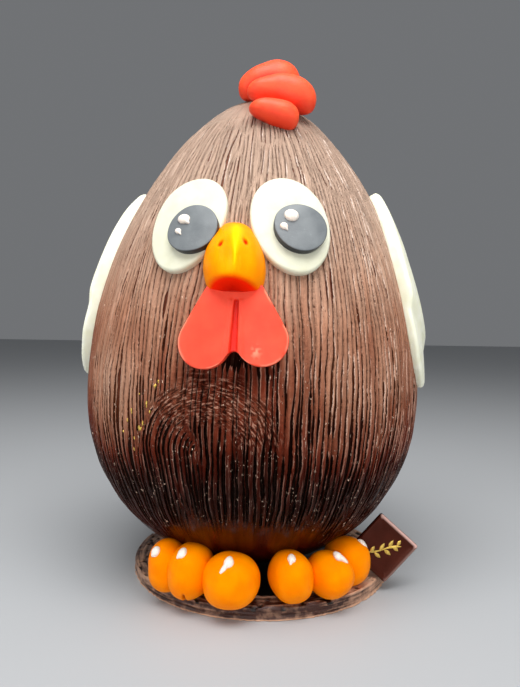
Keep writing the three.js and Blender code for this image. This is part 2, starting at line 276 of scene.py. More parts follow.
def stroke_lines(phase, along, seed, sparse):
    """Cracks between ridges, one near each whole number of phase, moved aside by its own amount so
    that ridges differ in width. Returns the phase with its cracks moved onto whole numbers, and
    half the crack's width in phase, which swells, tapers and now and then closes along it; where
    the lines are sparse, about half of them stay closed for longer."""
    number = np.floor(phase + 0.5)
    moved = phase - 0.46 * (lattice(number, 0, seed) - 0.5)
    own = lattice(number, 1, seed + 1)
    open_share = ease(drift(number * 7.31, along / 13, seed + 2), 0.16, 0.34)
    closed_share = 1 - ease(drift(number * 5.17, along / 20, seed + 4), 0.42, 0.52)
    open_share = open_share * (1 - sparse * closed_share)
    swell = drift(number * 3.77, along / 6, seed + 3)
    return moved, (0.07 + 0.07 * own) * (0.6 + 0.7 * swell) * open_share


def arch_strokes(turn, height, ragged):
    """Rings of strokes round a place under the wattle, in polar coordinates about it. They are long
    on its left side; over its top and down its right they are short dashes. Returns where the long
    ones are, their phase and half width, and the fields of the material."""
    across = (turn - ARCH["turn"]) * EGG_RADIUS
    rise = height - ARCH["height"]
    radius = np.hypot(across, np.maximum(rise, 0))
    spin = np.arctan2(across, np.maximum(rise, 1e-3))
    sweep = spin * 24 + np.minimum(rise, 0)
    ragged_radius = radius + 6 * (drift(spin * 6 + 20, (radius + rise) / 7, 13) - 0.5)
    inside = (ragged_radius > ARCH["inner"]) & (ragged_radius < ARCH["outer"]) & (across < 0)
    inside = inside & (spin < -0.62 + 1.2 * ragged)
    bend = 1.6 * drift(sweep / 16 + 30, radius / 12, 11)
    stroke, reach = stroke_lines(radius / ARCH["pitch"] + bend, sweep, 50, 0)
    dashes = ease(ragged_radius, 11, 18) * (1 - ease(ragged_radius, 27, 34))
    dashes = dashes * (1 - ease(np.abs(spin - 0.2), 1.0, 1.3)) * ease(rise, -3, 3)
    return inside, stroke, reach, {"dashes": dashes, "arch_out": radius, "arch_round": sweep}


def smooth_skin(turn, height, along):
    """The share of bare moulded skin: all of it up to a ragged line round the foot, which lies lower
    at the sides, and in the patch by the tip."""
    foot_line = SMOOTH_FOOT + 11 * (ring_drift(turn / (2 * math.pi), along, 64, 14, 14) - 0.35)
    foot_line = foot_line - 15 * ease(np.abs(np.sin(turn)), 0.3, 0.65)
    foot = 1 - ease(height, foot_line - 3, foot_line + 5)
    patch = ease(height, *TIP_PATCH["low"]) * (1 - ease(height, *TIP_PATCH["high"]))
    patch = patch * ease(np.cos(turn - TIP_PATCH["turn"]), 0.84, 0.95)
    return np.maximum(foot, patch)


def brushed(turn, height, along):
    """The brush's strokes over the egg: upright cracks that keep their spacing as the egg narrows,
    and the arch under the wattle. Each ridge between two cracks is rounded, a crack is a bell curve
    cut into it, and slow waves swell under both. Returns the relief and the material's fields."""
    ring = turn / (2 * math.pi)
    wander = sum(amount * ring_drift(ring, along, *waves) for amount, *waves in WANDER)
    ragged = ring_drift(ring, along, 70, 20, 3) - 0.5
    narrowing = 2 * np.log2(EGG_RADIUS / np.maximum(egg_radius(height), 4))
    level = np.floor(np.clip(narrowing + 0.05 + 1.6 * ragged, 0, 8))
    strokes = np.round(STROKES / 2 ** (level / 2))
    sparse = 0.85 * ease(height, 75, 125)
    stroke, reach = stroke_lines(ring * strokes + wander, along, 40, sparse)
    in_arch, arch_stroke, arch_reach, arch_fields = arch_strokes(turn, height, ragged)
    stroke = np.where(in_arch, arch_stroke, stroke)
    reach = np.where(in_arch, arch_reach, reach)

    # Strokes stop where the brush started anew, which is where the region changes.
    region = level + 100 * in_arch
    stop = np.zeros(region.shape, bool)
    upwards, sideways = np.diff(region, axis=0) != 0, np.diff(region, axis=1) != 0
    stop[:-1] |= upwards
    stop[1:] |= upwards
    stop[:, :-1] |= sideways
    stop[:, 1:] |= sideways
    bare = smooth_skin(turn, height, along)
    combed = np.where(stop, 0.0, 1 - bare)
    # Cracks gape towards the foot, and here and there higher up where the brush dug in.
    gash = ease(ring_drift(ring, along, 110, 11, 27), 0.62, 0.82) * ease(height, 60, 100)
    gash = gash * (1 - 0.7 * ease(height, 150, 172))
    widening = 0.5 + 2.3 * (1 - ease(height, 45, 118)) + 1.5 * gash
    # Under the wattle's notch the cracks open wide, which paints a patch nearly black as painted
    # shadow.
    aside = (turn - NOTCH_SHADOW["turn"]) * egg_radius(height) - NOTCH_SHADOW["aside"]
    above = height - NOTCH_SHADOW["height"]
    notch_shade = np.exp(-((aside / NOTCH_SHADOW["half"][0]) ** 2) - (above / NOTCH_SHADOW["half"][1]) ** 2)
    reach = np.maximum(np.minimum(0.3, reach * widening), 0.8 * notch_shade)
    reach = reach * ease(combed, 0.2, 0.8) * (1 - 0.8 * arch_fields["dashes"])

    away = np.abs(stroke - np.round(stroke))
    ridge = np.floor(stroke)
    full = RIDGE * (0.55 + 0.8 * lattice(ridge, level, 19)) * (0.6 + 0.4 * (1 - ease(height, 60, 140)))
    crest = full * (1 - (1 - np.minimum(1, away / 0.42)) ** 2) - 0.5 * full
    cut = ease(reach, 0, 0.08) * np.exp(-((away / (0.06 + 0.8 * reach)) ** 2))
    swell = 0.5 * (ring_drift(ring, along, 24, 30, 21) - 0.5)
    swell = swell + 0.35 * (ring_drift(ring, along, 70, 9, 23) - 0.5)
    relief = swell + combed * (crest - GROOVE * cut * (1 - 0.3 * in_arch))
    relief = relief + 0.35 * bare * (ring_drift(ring, along, 90, 5, 22) - 0.5)
    tint = 7 * (lattice(ridge, level, 29) - 0.5)  # each ridge is a little paler or darker
    return relief, {
        "stroke": stroke, "reach": reach, "bare": bare, "combed": combed, "bloom_and_painted_light": height + tint,
        **arch_fields,
    }


heights = EGG_FOOT + (EGG_HEIGHT - EGG_FOOT) * (1 - np.cos(np.linspace(0, np.pi, 6001))) / 2
lengths = np.concatenate([[0], np.cumsum(np.hypot(np.diff(heights), np.diff(egg_radius(heights))))])
closeness = 1 + 0.9 * np.exp(-((heights - 86) / 15) ** 2)  # closer rows across the arch
count_up = np.concatenate([[0], np.cumsum(np.diff(lengths) * closeness[1:])])
EGG_ROWS = 134
row_heights = np.interp(np.linspace(0, count_up[-1], EGG_ROWS), count_up, heights)
row_lengths = np.interp(row_heights, heights, lengths)
# The chocolate's brown, the brown of its cracks and that of its lips and crumbs, at heights in
# millimetres up the egg. Dark below as painted shade and pale above as painted sheen of the overhead
# lamp; the cracks' brown is also painted shade, and the lips' brown painted highlight.
BROWNS = {
    20: ("#3c0c03", "#0a0100", "#b08068"),
    45: ("#190301", "#050100", "#b87860"),
    62: ("#3a0b03", "#060100", "#c48a72"),
    78: ("#602617", "#0b0201", "#cc9a82"),
    96: ("#7c4834", "#200905", "#d0a48e"),
    114: ("#a1725a", "#46200f", "#d4b09c"),
    134: ("#ac8771", "#623427", "#dcc2b0"),
    160: ("#b09481", "#74493a", "#e6d2c4"),
    205: ("#a88f7e", "#7e5847", "#eedccf"),
}

chocolate, tree = new_material("brushed_dark_chocolate")
# Tempered dark chocolate, brushed as it set: rounded satin ridges painted paler towards the top as
# painted sheen and darker towards the foot as painted shade, cracks between them painted dark as
# painted shade, raised lips with painted highlights, tiny crumbs with painted glints among them, and
# glossy moulded skin at the foot.
stroke, reach, bare, combed, bloom_and_painted_light = (
    add_node(tree, "Attribute", {}, attribute_name=field).outputs["Fac"]
    for field in ("stroke", "reach", "bare", "combed", "bloom_and_painted_light")
)
dashes, arch_out, arch_round, around, along = (
    add_node(tree, "Attribute", {}, attribute_name=field).outputs["Fac"]
    for field in ("dashes", "arch_out", "arch_round", "around", "along")
)


def drawn_noise(x, y, across, length, detail, shift):
    """Noise whose marks are so many millimetres across and long, drawn out along the strokes."""
    spot = add_node(tree, "CombineXYZ", {"X": x, "Y": y, "Z": shift})
    placed = add_node(tree, "Mapping", {"Vector": spot, "Scale": (1 / across, 1 / length, 1)})
    sockets = {"Vector": placed, "Scale": 1.0, "Detail": detail, "Roughness": 0.6}
    return add_node(tree, "TexNoise", sockets)


streaks = drawn_noise(around, along, 0.9, 18, 4.0, 0)
patches = drawn_noise(around, along, 8, 24, 3.0, 3)
chips = drawn_noise(around, along, 1.1, 1.9, 3.0, 7)
specks = drawn_noise(around, along, 0.8, 1.9, 2.0, 17)
speckled = drawn_noise(around, along, 6, 15, 2.0, 19)
dash = drawn_noise(arch_out, arch_round, 0.75, 3.4, 3.0, 23)
# How far, in shares of a ridge, each spot lies from its nearest crack, made ragged by the chips.
away = add_node(tree, "Math", {0: stroke, 1: 0.5}, operation="PINGPONG")
jag = add_node(tree, "MapRange", {0: chips, 1: 0.3, 2: 0.7, 3: -0.055, 4: 0.055})
ragged = add_node(tree, "Math", {0: away, 1: jag}, operation="ADD")
inside = add_node(tree, "Math", {0: reach, 1: ragged}, operation="SUBTRACT")
crack = add_node(tree, "MapRange", {0: inside, 1: -0.04, 2: 0.03}, interpolation_type="SMOOTHSTEP")
brink = add_node(tree, "MapRange", {0: inside, 1: -0.24, 2: -0.1}, interpolation_type="SMOOTHSTEP")
uncracked = add_node(tree, "Math", {0: 1.0, 1: crack}, operation="SUBTRACT")
open_crack = add_node(tree, "MapRange", {0: reach, 1: 0.02, 2: 0.06})
# A raised lip runs along each crack; in patches and mostly on one side it is painted pale as painted
# highlight.
patchy = add_node(tree, "MapRange", {0: streaks, 1: 0.47, 2: 0.55})
lip = add_node(tree, "Math", {0: brink, 1: uncracked}, operation="MULTIPLY")
lip = add_node(tree, "Math", {0: lip, 1: open_crack}, operation="MULTIPLY")
one_side = add_node(tree, "Math", {0: stroke}, operation="FRACT")
one_side = add_node(tree, "MapRange", {0: one_side, 1: 0.45, 2: 0.55, 3: 1.0, 4: 0.3})
lip_highlight = add_node(tree, "Math", {0: lip, 1: patchy}, operation="MULTIPLY")
lip_highlight = add_node(tree, "Math", {0: lip_highlight, 1: one_side}, operation="MULTIPLY")
# Pits and crumbs crowd together here and there on the brushed part; the pits are painted dark as
# painted shade, and some lips get painted glints.
rough = add_node(tree, "Math", {0: 1.0, 1: bare}, operation="SUBTRACT")
pit = add_node(tree, "MapRange", {0: specks, 1: 0.34, 2: 0.28}, interpolation_type="SMOOTHSTEP")
crumb = add_node(tree, "MapRange", {0: specks, 1: 0.65, 2: 0.68}, interpolation_type="SMOOTHSTEP")
crowded = add_node(tree, "MapRange", {0: speckled, 1: 0.5, 2: 0.58})
pits = add_node(tree, "Math", {0: pit, 1: crowded}, operation="MULTIPLY")
pits = add_node(tree, "Math", {0: pits, 1: rough}, operation="MULTIPLY")
crumbs_and_glints = add_node(tree, "Math", {0: crumb, 1: crowded}, operation="MULTIPLY")
crumbs_and_glints = add_node(tree, "Math", {0: crumbs_and_glints, 1: rough}, operation="MULTIPLY")
glint = add_node(tree, "MapRange", {0: specks, 1: 0.57, 2: 0.61}, interpolation_type="SMOOTHSTEP")
glint = add_node(tree, "Math", {0: glint, 1: lip_highlight}, operation="MULTIPLY")
glint = add_node(tree, "Math", {0: glint, 1: crowded}, operation="MULTIPLY")
crumbs_and_glints = add_node(tree, "Math", {0: crumbs_and_glints, 1: glint}, operation="MAXIMUM")
# Cracks and pits are painted with the cracks' brown as painted shade.
hollow = add_node(tree, "Math", {0: crack, 1: pits}, operation="MAXIMUM")

brown, crack_shade_brown, highlight_brown = (add_node(tree, "ValToRGB", {"Fac": bloom_and_painted_light}) for _ in range(3))
for number, ramp in enumerate((brown, crack_shade_brown, highlight_brown)):
    steps = ramp.color_ramp.elements
    for height, colours in BROWNS.items():
        steps.new(height / EGG_HEIGHT).color = linear(colours[number])
    steps.remove(steps[0])
    steps.remove(steps[-1])
# A ridge is painted lighter along its crown than down its flanks as painted shade, less so higher up,
# and streaked along the strokes.
crown = add_node(tree, "MapRange", {0: ragged, 1: 0.0, 2: 0.34, 3: 0.55, 4: 1.12})
fade = add_node(tree, "MapRange", {0: bloom_and_painted_light, 1: 0.32, 2: 0.56, 3: 1.0, 4: 0.42})
ridge_shade_share = add_node(tree, "Math", {0: fade, 1: combed}, operation="MULTIPLY")
ridge_shade_tone = add_node(tree, "Mix", {0: ridge_shade_share, 2: 1.0, 3: crown})
streak_tone = add_node(tree, "MapRange", {0: streaks, 1: 0.3, 2: 0.7, 3: 0.8, 4: 1.2})
patch_tone = add_node(tree, "MapRange", {0: patches, 1: 0.3, 2: 0.7, 3: 0.86, 4: 1.14})
tone = add_node(tree, "Math", {0: ridge_shade_tone, 1: streak_tone}, operation="MULTIPLY")
tone = add_node(tree, "Math", {0: tone, 1: patch_tone}, operation="MULTIPLY")
toned = add_node(tree, "Mix", {0: 1.0, 6: brown, 7: tone}, data_type="RGBA", blend_type="MULTIPLY")
# Dashes follow the arch over its top, the raised ones painted pale as painted highlight and the sunk
# ones dark as painted shade; painted lip highlights, painted crack shade and flecks lie over the
# ridges.
dash_light = add_node(tree, "MapRange", {0: dash, 1: 0.53, 2: 0.6}, interpolation_type="SMOOTHSTEP")
dash_dark = add_node(tree, "MapRange", {0: dash, 1: 0.47, 2: 0.4}, interpolation_type="SMOOTHSTEP")
dash_light = add_node(tree, "Math", {0: dash_light, 1: dashes}, operation="MULTIPLY")
dash_dark = add_node(tree, "Math", {0: dash_dark, 1: dashes}, operation="MULTIPLY")
dash_share = add_node(tree, "Math", {0: dash_light, 1: 0.5}, operation="MULTIPLY")
lip_strength = add_node(tree, "MapRange", {0: bloom_and_painted_light, 1: 0.2, 2: 0.5, 3: 0.14, 4: 0.88})
lip_share = add_node(
    tree, "Math", {0: lip_highlight, 1: lip_strength, 2: dash_share},
    operation="MULTIPLY_ADD", use_clamp=True,
)
lipped = add_node(tree, "Mix", {0: lip_share, 6: toned, 7: highlight_brown}, data_type="RGBA")
sunk = add_node(tree, "Math", {0: dash_dark, 1: 0.75}, operation="MULTIPLY")
sunk = add_node(tree, "Math", {0: sunk, 1: hollow}, operation="MAXIMUM")
cracked = add_node(tree, "Mix", {0: sunk, 6: lipped, 7: crack_shade_brown}, data_type="RGBA")
# Crumbs and the painted glints on the lips take one pale colour, fainter higher up.
fleck_share = add_node(tree, "MapRange", {0: bloom_and_painted_light, 1: 0.35, 2: 0.6, 3: 1.0, 4: 0.6})
fleck_share = add_node(tree, "Math", {0: crumbs_and_glints, 1: fleck_share}, operation="MULTIPLY")
flecked = add_node(tree, "Mix", {0: fleck_share, 6: cracked, 7: linear("#eccab2")}, data_type="RGBA")
skinned = add_node(tree, "Mix", {0: bare, 6: flecked, 7: brown}, data_type="RGBA")
# The moulded skin is the glossiest, and the ridges higher up are duller than those below.
satin = add_node(tree, "MapRange", {0: bloom_and_painted_light, 1: 0.25, 2: 0.6, 3: 0.3, 4: 0.44})
glossy = add_node(tree, "Mix", {0: rough, 2: 0.2, 3: satin})
# Ridge, crack, lip, crumb and brush marks as heights in millimetres.
crest = add_node(
    tree, "MapRange", {0: ragged, 1: 0.0, 2: 0.4, 3: 0.0, 4: 0.4}, interpolation_type="SMOOTHSTEP",
)
graze = add_node(tree, "MapRange", {0: rough, 3: 0.1, 4: 0.7})
MARKS = [
    (hollow, -0.5), (lip, 0.2), (crumbs_and_glints, 0.45), (chips, graze), (streaks, 0.35),
    (dash_light, 0.5), (dash_dark, -0.5),
]
height = add_node(tree, "Math", {0: crest, 1: combed}, operation="MULTIPLY")
for mark, rise in MARKS:
    height = add_node(tree, "Math", {0: mark, 1: rise, 2: height}, operation="MULTIPLY_ADD")
brush_bump = add_node(tree, "Bump", {"Strength": 1.0, "Distance": 0.001, "Height": height})
# The lips low on the egg and the very foot shine as if wet.
wet = add_node(tree, "MapRange", {0: bloom_and_painted_light, 1: 0.3, 2: 0.5, 3: 0.5, 4: 0.0})
glaze = add_node(tree, "Math", {0: lip_highlight, 1: wet}, operation="MULTIPLY")
glazed_foot = add_node(tree, "MapRange", {0: bloom_and_painted_light, 1: 0.11, 2: 0.16, 3: 0.45, 4: 0.08})
glaze = add_node(tree, "Math", {0: bare, 1: glazed_foot, 2: glaze}, operation="MULTIPLY_ADD")
finish_material(tree, add_node(tree, "BsdfPrincipled", {
    "Base Color": skinned, "Roughness": glossy, "IOR": 1.46, "Specular IOR Level": 0.12,
    "Specular Tint": linear("#ffb89a"), "Normal": brush_bump,
    "Coat Weight": glaze, "Coat Roughness": 0.2, "Coat IOR": 1.5,
}))


# The brushed chocolate is painted paler on the belly's flanks, most on the left, as painted sheen, and
# darkest under the wattle as the wattle's painted shadow.
FLANK_SHEEN = 29
WATTLE_SHADOW = {"turn": -0.07, "height": 94, "half": (0.26, 8), "darkness": 27}
CLOSED_ENDS = 8  # millimetres over which the relief fades out towards the tip and the foot


def half_shell(name, start, stop, columns):
    """One half of the egg between two turns, closed by a flat face where the halves are joined."""
    turn = np.linspace(start, stop, columns)[None, :]
    height, length = row_heights[:, None], row_lengths[:, None]
    relief, fields = brushed(turn, height, length)
    to_end = np.minimum(row_lengths, row_lengths[-1] - row_lengths)[:, None]
    points = on_egg(turn, height, relief * np.minimum(1, to_end / CLOSED_ENDS))
    foot = np.broadcast_to(on_egg(0, EGG_FOOT, 0) * [0, 0, 1] + [*EGG_OFFSET, 0], points[:1].shape)
    tip = np.broadcast_to(on_egg(0, EGG_HEIGHT, 0), points[:1].shape)
    points = np.concatenate([foot, points[:-1], tip])
    clouds_sheen_and_shade = 12 * (drift(turn * 20, height / 12, 24) - 0.5)
    clouds_sheen_and_shade = clouds_sheen_and_shade + 8 * (drift(turn * 60, height / 20, 25) - 0.5)
    # The flanks get a painted sheen, and the spot under the wattle its painted shadow.
    rightwards = np.sin(turn)
    edge = (0.5 - 0.25 * rightwards) * ease(np.abs(rightwards), 0.74, 0.98)
    flank = ease(np.abs(np.sin(turn + 0.12)), 0.2, 0.6) * (1 - edge)
    flank = flank * (1 - ease(height, 84, 114)) * ease(height, 46, 72)
    aside = (turn - WATTLE_SHADOW["turn"]) / WATTLE_SHADOW["half"][0]
    wattle_shade = np.exp(-aside**2 - ((height - WATTLE_SHADOW["height"]) / WATTLE_SHADOW["half"][1]) ** 2)
    clouds_sheen_and_shade = clouds_sheen_and_shade + (FLANK_SHEEN - 12 * rightwards) * flank - WATTLE_SHADOW["darkness"] * wattle_shade
    clouds_sheen_and_shade = clouds_sheen_and_shade - 9 * ease(-rightwards, 0.75, 1.0) * (1 - ease(height, 100, 125))
    fields["bloom_and_painted_light"] = np.clip((fields["bloom_and_painted_light"] + clouds_sheen_and_shade) / EGG_HEIGHT, 0, 1)
    fields["around"] = turn * EGG_RADIUS + 0 * height
    fields["along"] = length + 0 * turn
    fields = {key: np.concatenate([values[:1], values]) for key, values in fields.items()}
    shell = add_surface(name, points, chocolate, flat_columns=[columns - 1], **fields)
    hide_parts("egg_body")


quarter_turn = math.pi / 2
half_shell("egg_front_shell", -quarter_turn, quarter_turn, columns=740)
half_shell("egg_back_shell", quarter_turn, 3 * quarter_turn, columns=600)

# ---- Sugar paste -------------------------------------------------------------------------------
# Most trimmings are sugar paste, coloured through, rolled or shaped by hand and dried to a satin
# skin. It has a little depth to its colour, a fine icing-sugar grain and faint finger marks.


def sugar_paste(name, light, dark, roughness, shine, depth=0.12, glow=(1.0, 0.5, 0.3), tint="#ffffff"):
    """Paste whose colour drifts between two shades over a few millimetres, with grain and dents.
    Returns the material, its tree, the colour and the shader, so that a piece can add to them."""
    paste, paste_tree = new_material(name)
    spot = add_node(paste_tree, "TexCoord", {}).outputs["Object"]
    mottle = add_node(paste_tree, "TexNoise", {"Vector": spot, "Scale": 1 / 0.007, "Detail": 4.0})
    share = add_node(paste_tree, "MapRange", {0: mottle, 1: 0.35, 2: 0.65})
    shade = add_node(paste_tree, "Mix", {0: share, 6: linear(dark), 7: linear(light)}, data_type="RGBA")
    sugar = add_node(paste_tree, "TexNoise", {"Vector": spot, "Scale": 1 / 0.0005, "Detail": 2.0})
    dents = add_node(paste_tree, "TexNoise", {"Vector": spot, "Scale": 1 / 0.004, "Detail": 2.0})
    soft = add_node(paste_tree, "Bump", {"Strength": 0.25, "Distance": 0.0006, "Height": dents})
    fine = add_node(
        paste_tree, "Bump", {"Strength": 0.18, "Distance": 0.0002, "Height": sugar, "Normal": soft},
    )
    satin = add_node(
        paste_tree, "MapRange", {0: dents, 1: 0.3, 2: 0.7, 3: roughness - 0.05, 4: roughness + 0.06},
    )
    skin_shader = add_node(paste_tree, "BsdfPrincipled", {
        "Base Color": shade, "Roughness": satin, "Normal": fine,
        "IOR": 1.45, "Specular IOR Level": shine, "Specular Tint": linear(tint),
        "Subsurface Weight": depth, "Subsurface Radius": glow, "Subsurface Scale": 0.0015,
    })
    finish_material(paste_tree, skin_shader)
    return paste, paste_tree, shade, skin_shader


def lay(turn, height):
    """A flat pattern laid on the egg: u runs round it, v up it and out away from it."""
    slope = egg_radius(height + 0.5) - egg_radius(height - 0.5)
    upright = 1 / np.hypot(1, slope)

    def at(u, v, out):
        level = height + v * upright
        return on_egg(math.radians(turn) + u / egg_radius(level), level, out)

    return at


def oval(half, count, middle=(0, 0), tilt=0.0, point=0.0):
    """An oval outline, a cosine up and a sine across, whose upper end is the blunter one when point
    is above 0; tilt turns it by so many degrees."""
    angle = 2 * np.pi * np.arange(count) / count
    side = -half[0] * np.sin(angle) * (1 + point * np.cos(angle))
    along = half[1] * np.cos(angle)
    turn = math.radians(tilt)
    return np.stack([
        middle[0] + side * math.cos(turn) - along * math.sin(turn),
        middle[1] + side * math.sin(turn) + along * math.cos(turn),
    ], -1)


def even(outline, count, rounding=0):
    """Spaces an outline's points evenly, and softens its corners by repeated averaging."""
    closed = np.vstack([outline, outline[:1]])
    reach = np.concatenate([[0], np.cumsum(np.hypot(*np.diff(closed, axis=0).T))])
    spots = np.linspace(0, reach[-1], count, endpoint=False)
    points = np.stack([np.interp(spots, reach, column) for column in closed.T], -1)
    for _ in range(rounding):
        points = (np.roll(points, 1, 0) + 2 * points + np.roll(points, -1, 0)) / 4
    return points


def plate(at, outline, middle, top, edge, relief, rings, floor=-0.4, foot=0.4):
    """A sheet cut to an outline and laid on the egg. Its rows run from the middle of its face out
    to the rounded edge, down it, round the foot and back to the middle underneath. Each row is the
    outline drawn in towards the middle by its share; the edge and the foot are quarter circles."""
    middle = np.asarray(middle, float)
    away = outline - middle
    size = np.hypot(*away.T).mean()
    bend = np.linspace(0, np.pi / 2, 7)
    share = np.concatenate([
        np.linspace(0, 1 - edge / size, rings)[:-1],
        1 - edge / size * (1 - np.sin(bend)),
        1 - foot / size * (1 - np.cos(bend)),
        np.linspace(1 - foot / size, 0, 4)[1:],
    ])
    out = np.concatenate([
        np.full(rings - 1, top),
        top - edge * (1 - np.cos(bend)),
        floor + foot * (1 - np.sin(bend)),
        np.full(3, floor),
    ])
    spots = middle + away[None] * share[:, None, None]
    u, v = spots[..., 0], spots[..., 1]
    lift = np.broadcast_to(out[:, None], u.shape)
    lift = lift + relief(u, v) * np.clip((lift - floor) / (top - floor), 0, 1)
    return at(u, v, lift), u, v


# ---- Eyes --------------------------------------------------------------------------------------
# Each eye is a white oval cut from rolled sugar paste, with a thick black button laid on it and
# two drops of white icing on the button. The beak was pressed on over their inner edges.

WHITE = {"top": 3.1, "edge": 1.3, "foot": 0.7}  # how far its face stands out, and its roundings
BUTTON = {"radius": 9.8, "top": 6.1, "edge": 0.5, "rings": 26}
EYES = {  # the white and the button are placed by a turn in degrees and a height on the egg
    "left": {
        "seed": 31,
        "white": (-26.3, 156),
        "oval": {"middle": (1.5, -5.3), "half": (15.6, 21.2), "tilt": -3, "point": 0.09},
        "button": (-20.5, 147.4),
        "glints": {
            # middle, half sizes and height, and how long the tail is and where it points
            "large": ((-3.6, 3.6), (2.4, 1.9), 1.5, 0.5, -45),
            "small": ((-4.9, -1.4), (1.2, 1.1), 0.9, 1.0, -48),
        },
    },
    "right": {
        "seed": 41,
        "white": (11.5, 157),
        "oval": {"middle": (0.0, -5.9), "half": (15.4, 21.3), "tilt": 9, "point": 0.02},
        "button": (13.7, 148.9),
        "glints": {
            "large": ((-3.4, 4.3), (2.6, 2.4), 1.7, 0.0, 0),
            "small": ((-6.4, -0.3), (1.4, 1.4), 1.0, 0.6, -55),
        },
    },
}

white_paste, *_ = sugar_paste(
    "rolled_white_sugar_paste", "#d9d8c3", "#d1d0b8", roughness=0.52, shine=0.3, depth=0.2,
    glow=(1, 0.9, 0.7),
)
# Black paste dries to a charcoal face with a patchy dust of icing sugar; the face's grey is partly
# painted sheen, and its wall is painted darker as painted shade.
black_paste, tree, shade, shader = sugar_paste(
    "black_sugar_paste", "#6c7173", "#5f6467", roughness=0.42, shine=0.6, depth=0.0,
)
place = add_node(tree, "TexCoord", {}).outputs["Object"]
dust = add_node(
    tree, "TexNoise", {"Vector": place, "Scale": 1 / 0.0011, "Detail": 5.0, "Roughness": 0.7},
)
dust_share = add_node(tree, "MapRange", {0: dust, 1: 0.62, 2: 0.78, 3: 0.0, 4: 0.45})
dusted = add_node(tree, "Mix", {0: dust_share, 6: shade, 7: linear("#9aa0a3")}, data_type="RGBA")
# The wall is painted darker as painted shade.
wall = add_node(tree, "Attribute", {}, attribute_name="wall").outputs["Fac"]
wall_shaded = add_node(tree, "Mix", {0: wall, 6: dusted, 7: linear("#171c26")}, data_type="RGBA")
tree.links.new(wall_shaded.outputs[2], shader.inputs["Base Color"])
icing, *_ = sugar_paste(
    "piped_white_icing", "#f4e8dc", "#ecdccf", roughness=0.28, shine=0.5, depth=0.25,
    glow=(1, 0.85, 0.7),
)


def drop(at, floor, middle, half, high, tail, tail_turn, count=48, rows=14, undercut=-0.35):
    """A drop of icing: a low dome on an oval foot, pulled out to a tail where the bag was lifted. The
    dome curls in below its widest ring by the undercut, an angle, and is closed flat underneath."""
    angle = 2 * np.pi * np.arange(count) / count
    off = (angle - math.radians(tail_turn) + np.pi) % (2 * np.pi) - np.pi
    pull = 1 + tail * np.exp(-((off / 0.24) ** 2))
    outline = np.stack([half[0] * np.cos(angle) * pull, half[1] * np.sin(angle) * pull], -1)
    rise = np.linspace(np.pi / 2, undercut, rows)
    share = np.concatenate([np.cos(rise), [0.0]])
    level = np.concatenate([np.sin(rise), [math.sin(undercut)]])
    spots = outline[None] * share[:, None, None] + np.asarray(middle, float)
    out = floor + high * level[:, None] * (1 - 0.35 * (pull - 1) * share[:, None])
    return at(spots[..., 0], spots[..., 1], out)


for side, eye in EYES.items():
    seed = eye["seed"]
    points, _, _ = plate(
        lay(*eye["white"]), oval(count=200, **eye["oval"]), eye["oval"]["middle"],
        relief=lambda u, v: 0.35 * (drift(u / 7, v / 7, seed) - 0.5), rings=30, **WHITE,
    )
    eye_white = add_surface(f"eye_sheet_{side}", points, white_paste)
    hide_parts(f"eye_white_{side}")

    on_button = lay(*eye["button"])
    round_rim = np.linspace(0, 2 * np.pi, 160, endpoint=False)
    rim = BUTTON["radius"] * (1 + 0.012 * np.cos(3 * round_rim + seed))  # not quite round
    points, _, _ = plate(
        on_button, oval((1, 1), 160) * rim[:, None], (0, 0), BUTTON["top"], BUTTON["edge"],
        relief=lambda u, v: 0.3 * (drift(u / 6, v / 6, seed + 1) - 0.5),
        rings=BUTTON["rings"], floor=WHITE["top"] - 0.4,
    )
    # Where the wall is, for its painted shade.
    past_face = np.arange(len(points))[:, None] - BUTTON["rings"]
    wall = np.broadcast_to(ease(past_face, 1, 4), points.shape[:2])
    button = add_surface(f"eye_button_{side}", points, black_paste, wall=wall)
    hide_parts(f"pupil_{side}")
    for size, glint in eye["glints"].items():
        points = drop(on_button, BUTTON["top"] + 0.1, *glint)
        bead = add_surface(f"eye_glint_{side}_{size}", points, icing)
        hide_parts(f"glint_{side}_{size}")

# ---- Beak --------------------------------------------------------------------------------------
# A cone of orange sugar paste shaped by hand: a narrow crest down the middle, two nostrils pricked with
# a small tool, and an underside that slopes back to the egg, airbrushed red. The crest is painted
# yellow as painted highlight; the nostrils and the underside towards the egg are painted darker as
# painted shade.

BEAK = {
    "turn": -6.8, "height": 144, "top": 9.3, "lip": -20.4, "tip_rise": 2.0, "reach": 14.5,
    "half_width": 11.9, "widest": 0.68,  # this share of the way down
    "lean": 0.08,  # the top leans to the left by this share of the height
}
NOSTRILS = [(-3.4, -4.7, 20), (4.7, -2.9, -16)]  # u, v and lean in degrees
NOSTRIL = {"half": (0.6, 1.25), "deep": 2.2, "lip": 0.3}

beak_paste, tree, shade, shader = sugar_paste(
    "orange_beak_sugar_paste", "#ff9600", "#fa8a00", roughness=0.45, shine=0.14,
    glow=(1, 0.4, 0.05), tint="#ffb040",
)
# The crest is painted yellow as painted highlight, the underside red, and its deepest part and the
# nostrils darker as painted shade.
crest_highlight_share = add_node(tree, "Attribute", {}, attribute_name="crest").outputs["Fac"]
under_share = add_node(tree, "Attribute", {}, attribute_name="under").outputs["Fac"]
crest_highlighted = add_node(tree, "Mix", {0: crest_highlight_share, 6: shade, 7: linear("#ffcc00")}, data_type="RGBA")
red_share = add_node(tree, "MapRange", {0: under_share, 1: 0.05, 2: 0.7})
sprayed = add_node(tree, "Mix", {0: red_share, 6: crest_highlighted, 7: linear("#fb2200")}, data_type="RGBA")
underside_shade_share = add_node(tree, "MapRange", {0: under_share, 1: 0.76, 2: 0.95, 4: 0.85})
underside_shaded = add_node(tree, "Mix", {0: underside_shade_share, 6: sprayed, 7: linear("#b80600")}, data_type="RGBA")
tree.links.new(underside_shaded.outputs[2], shader.inputs["Base Color"])

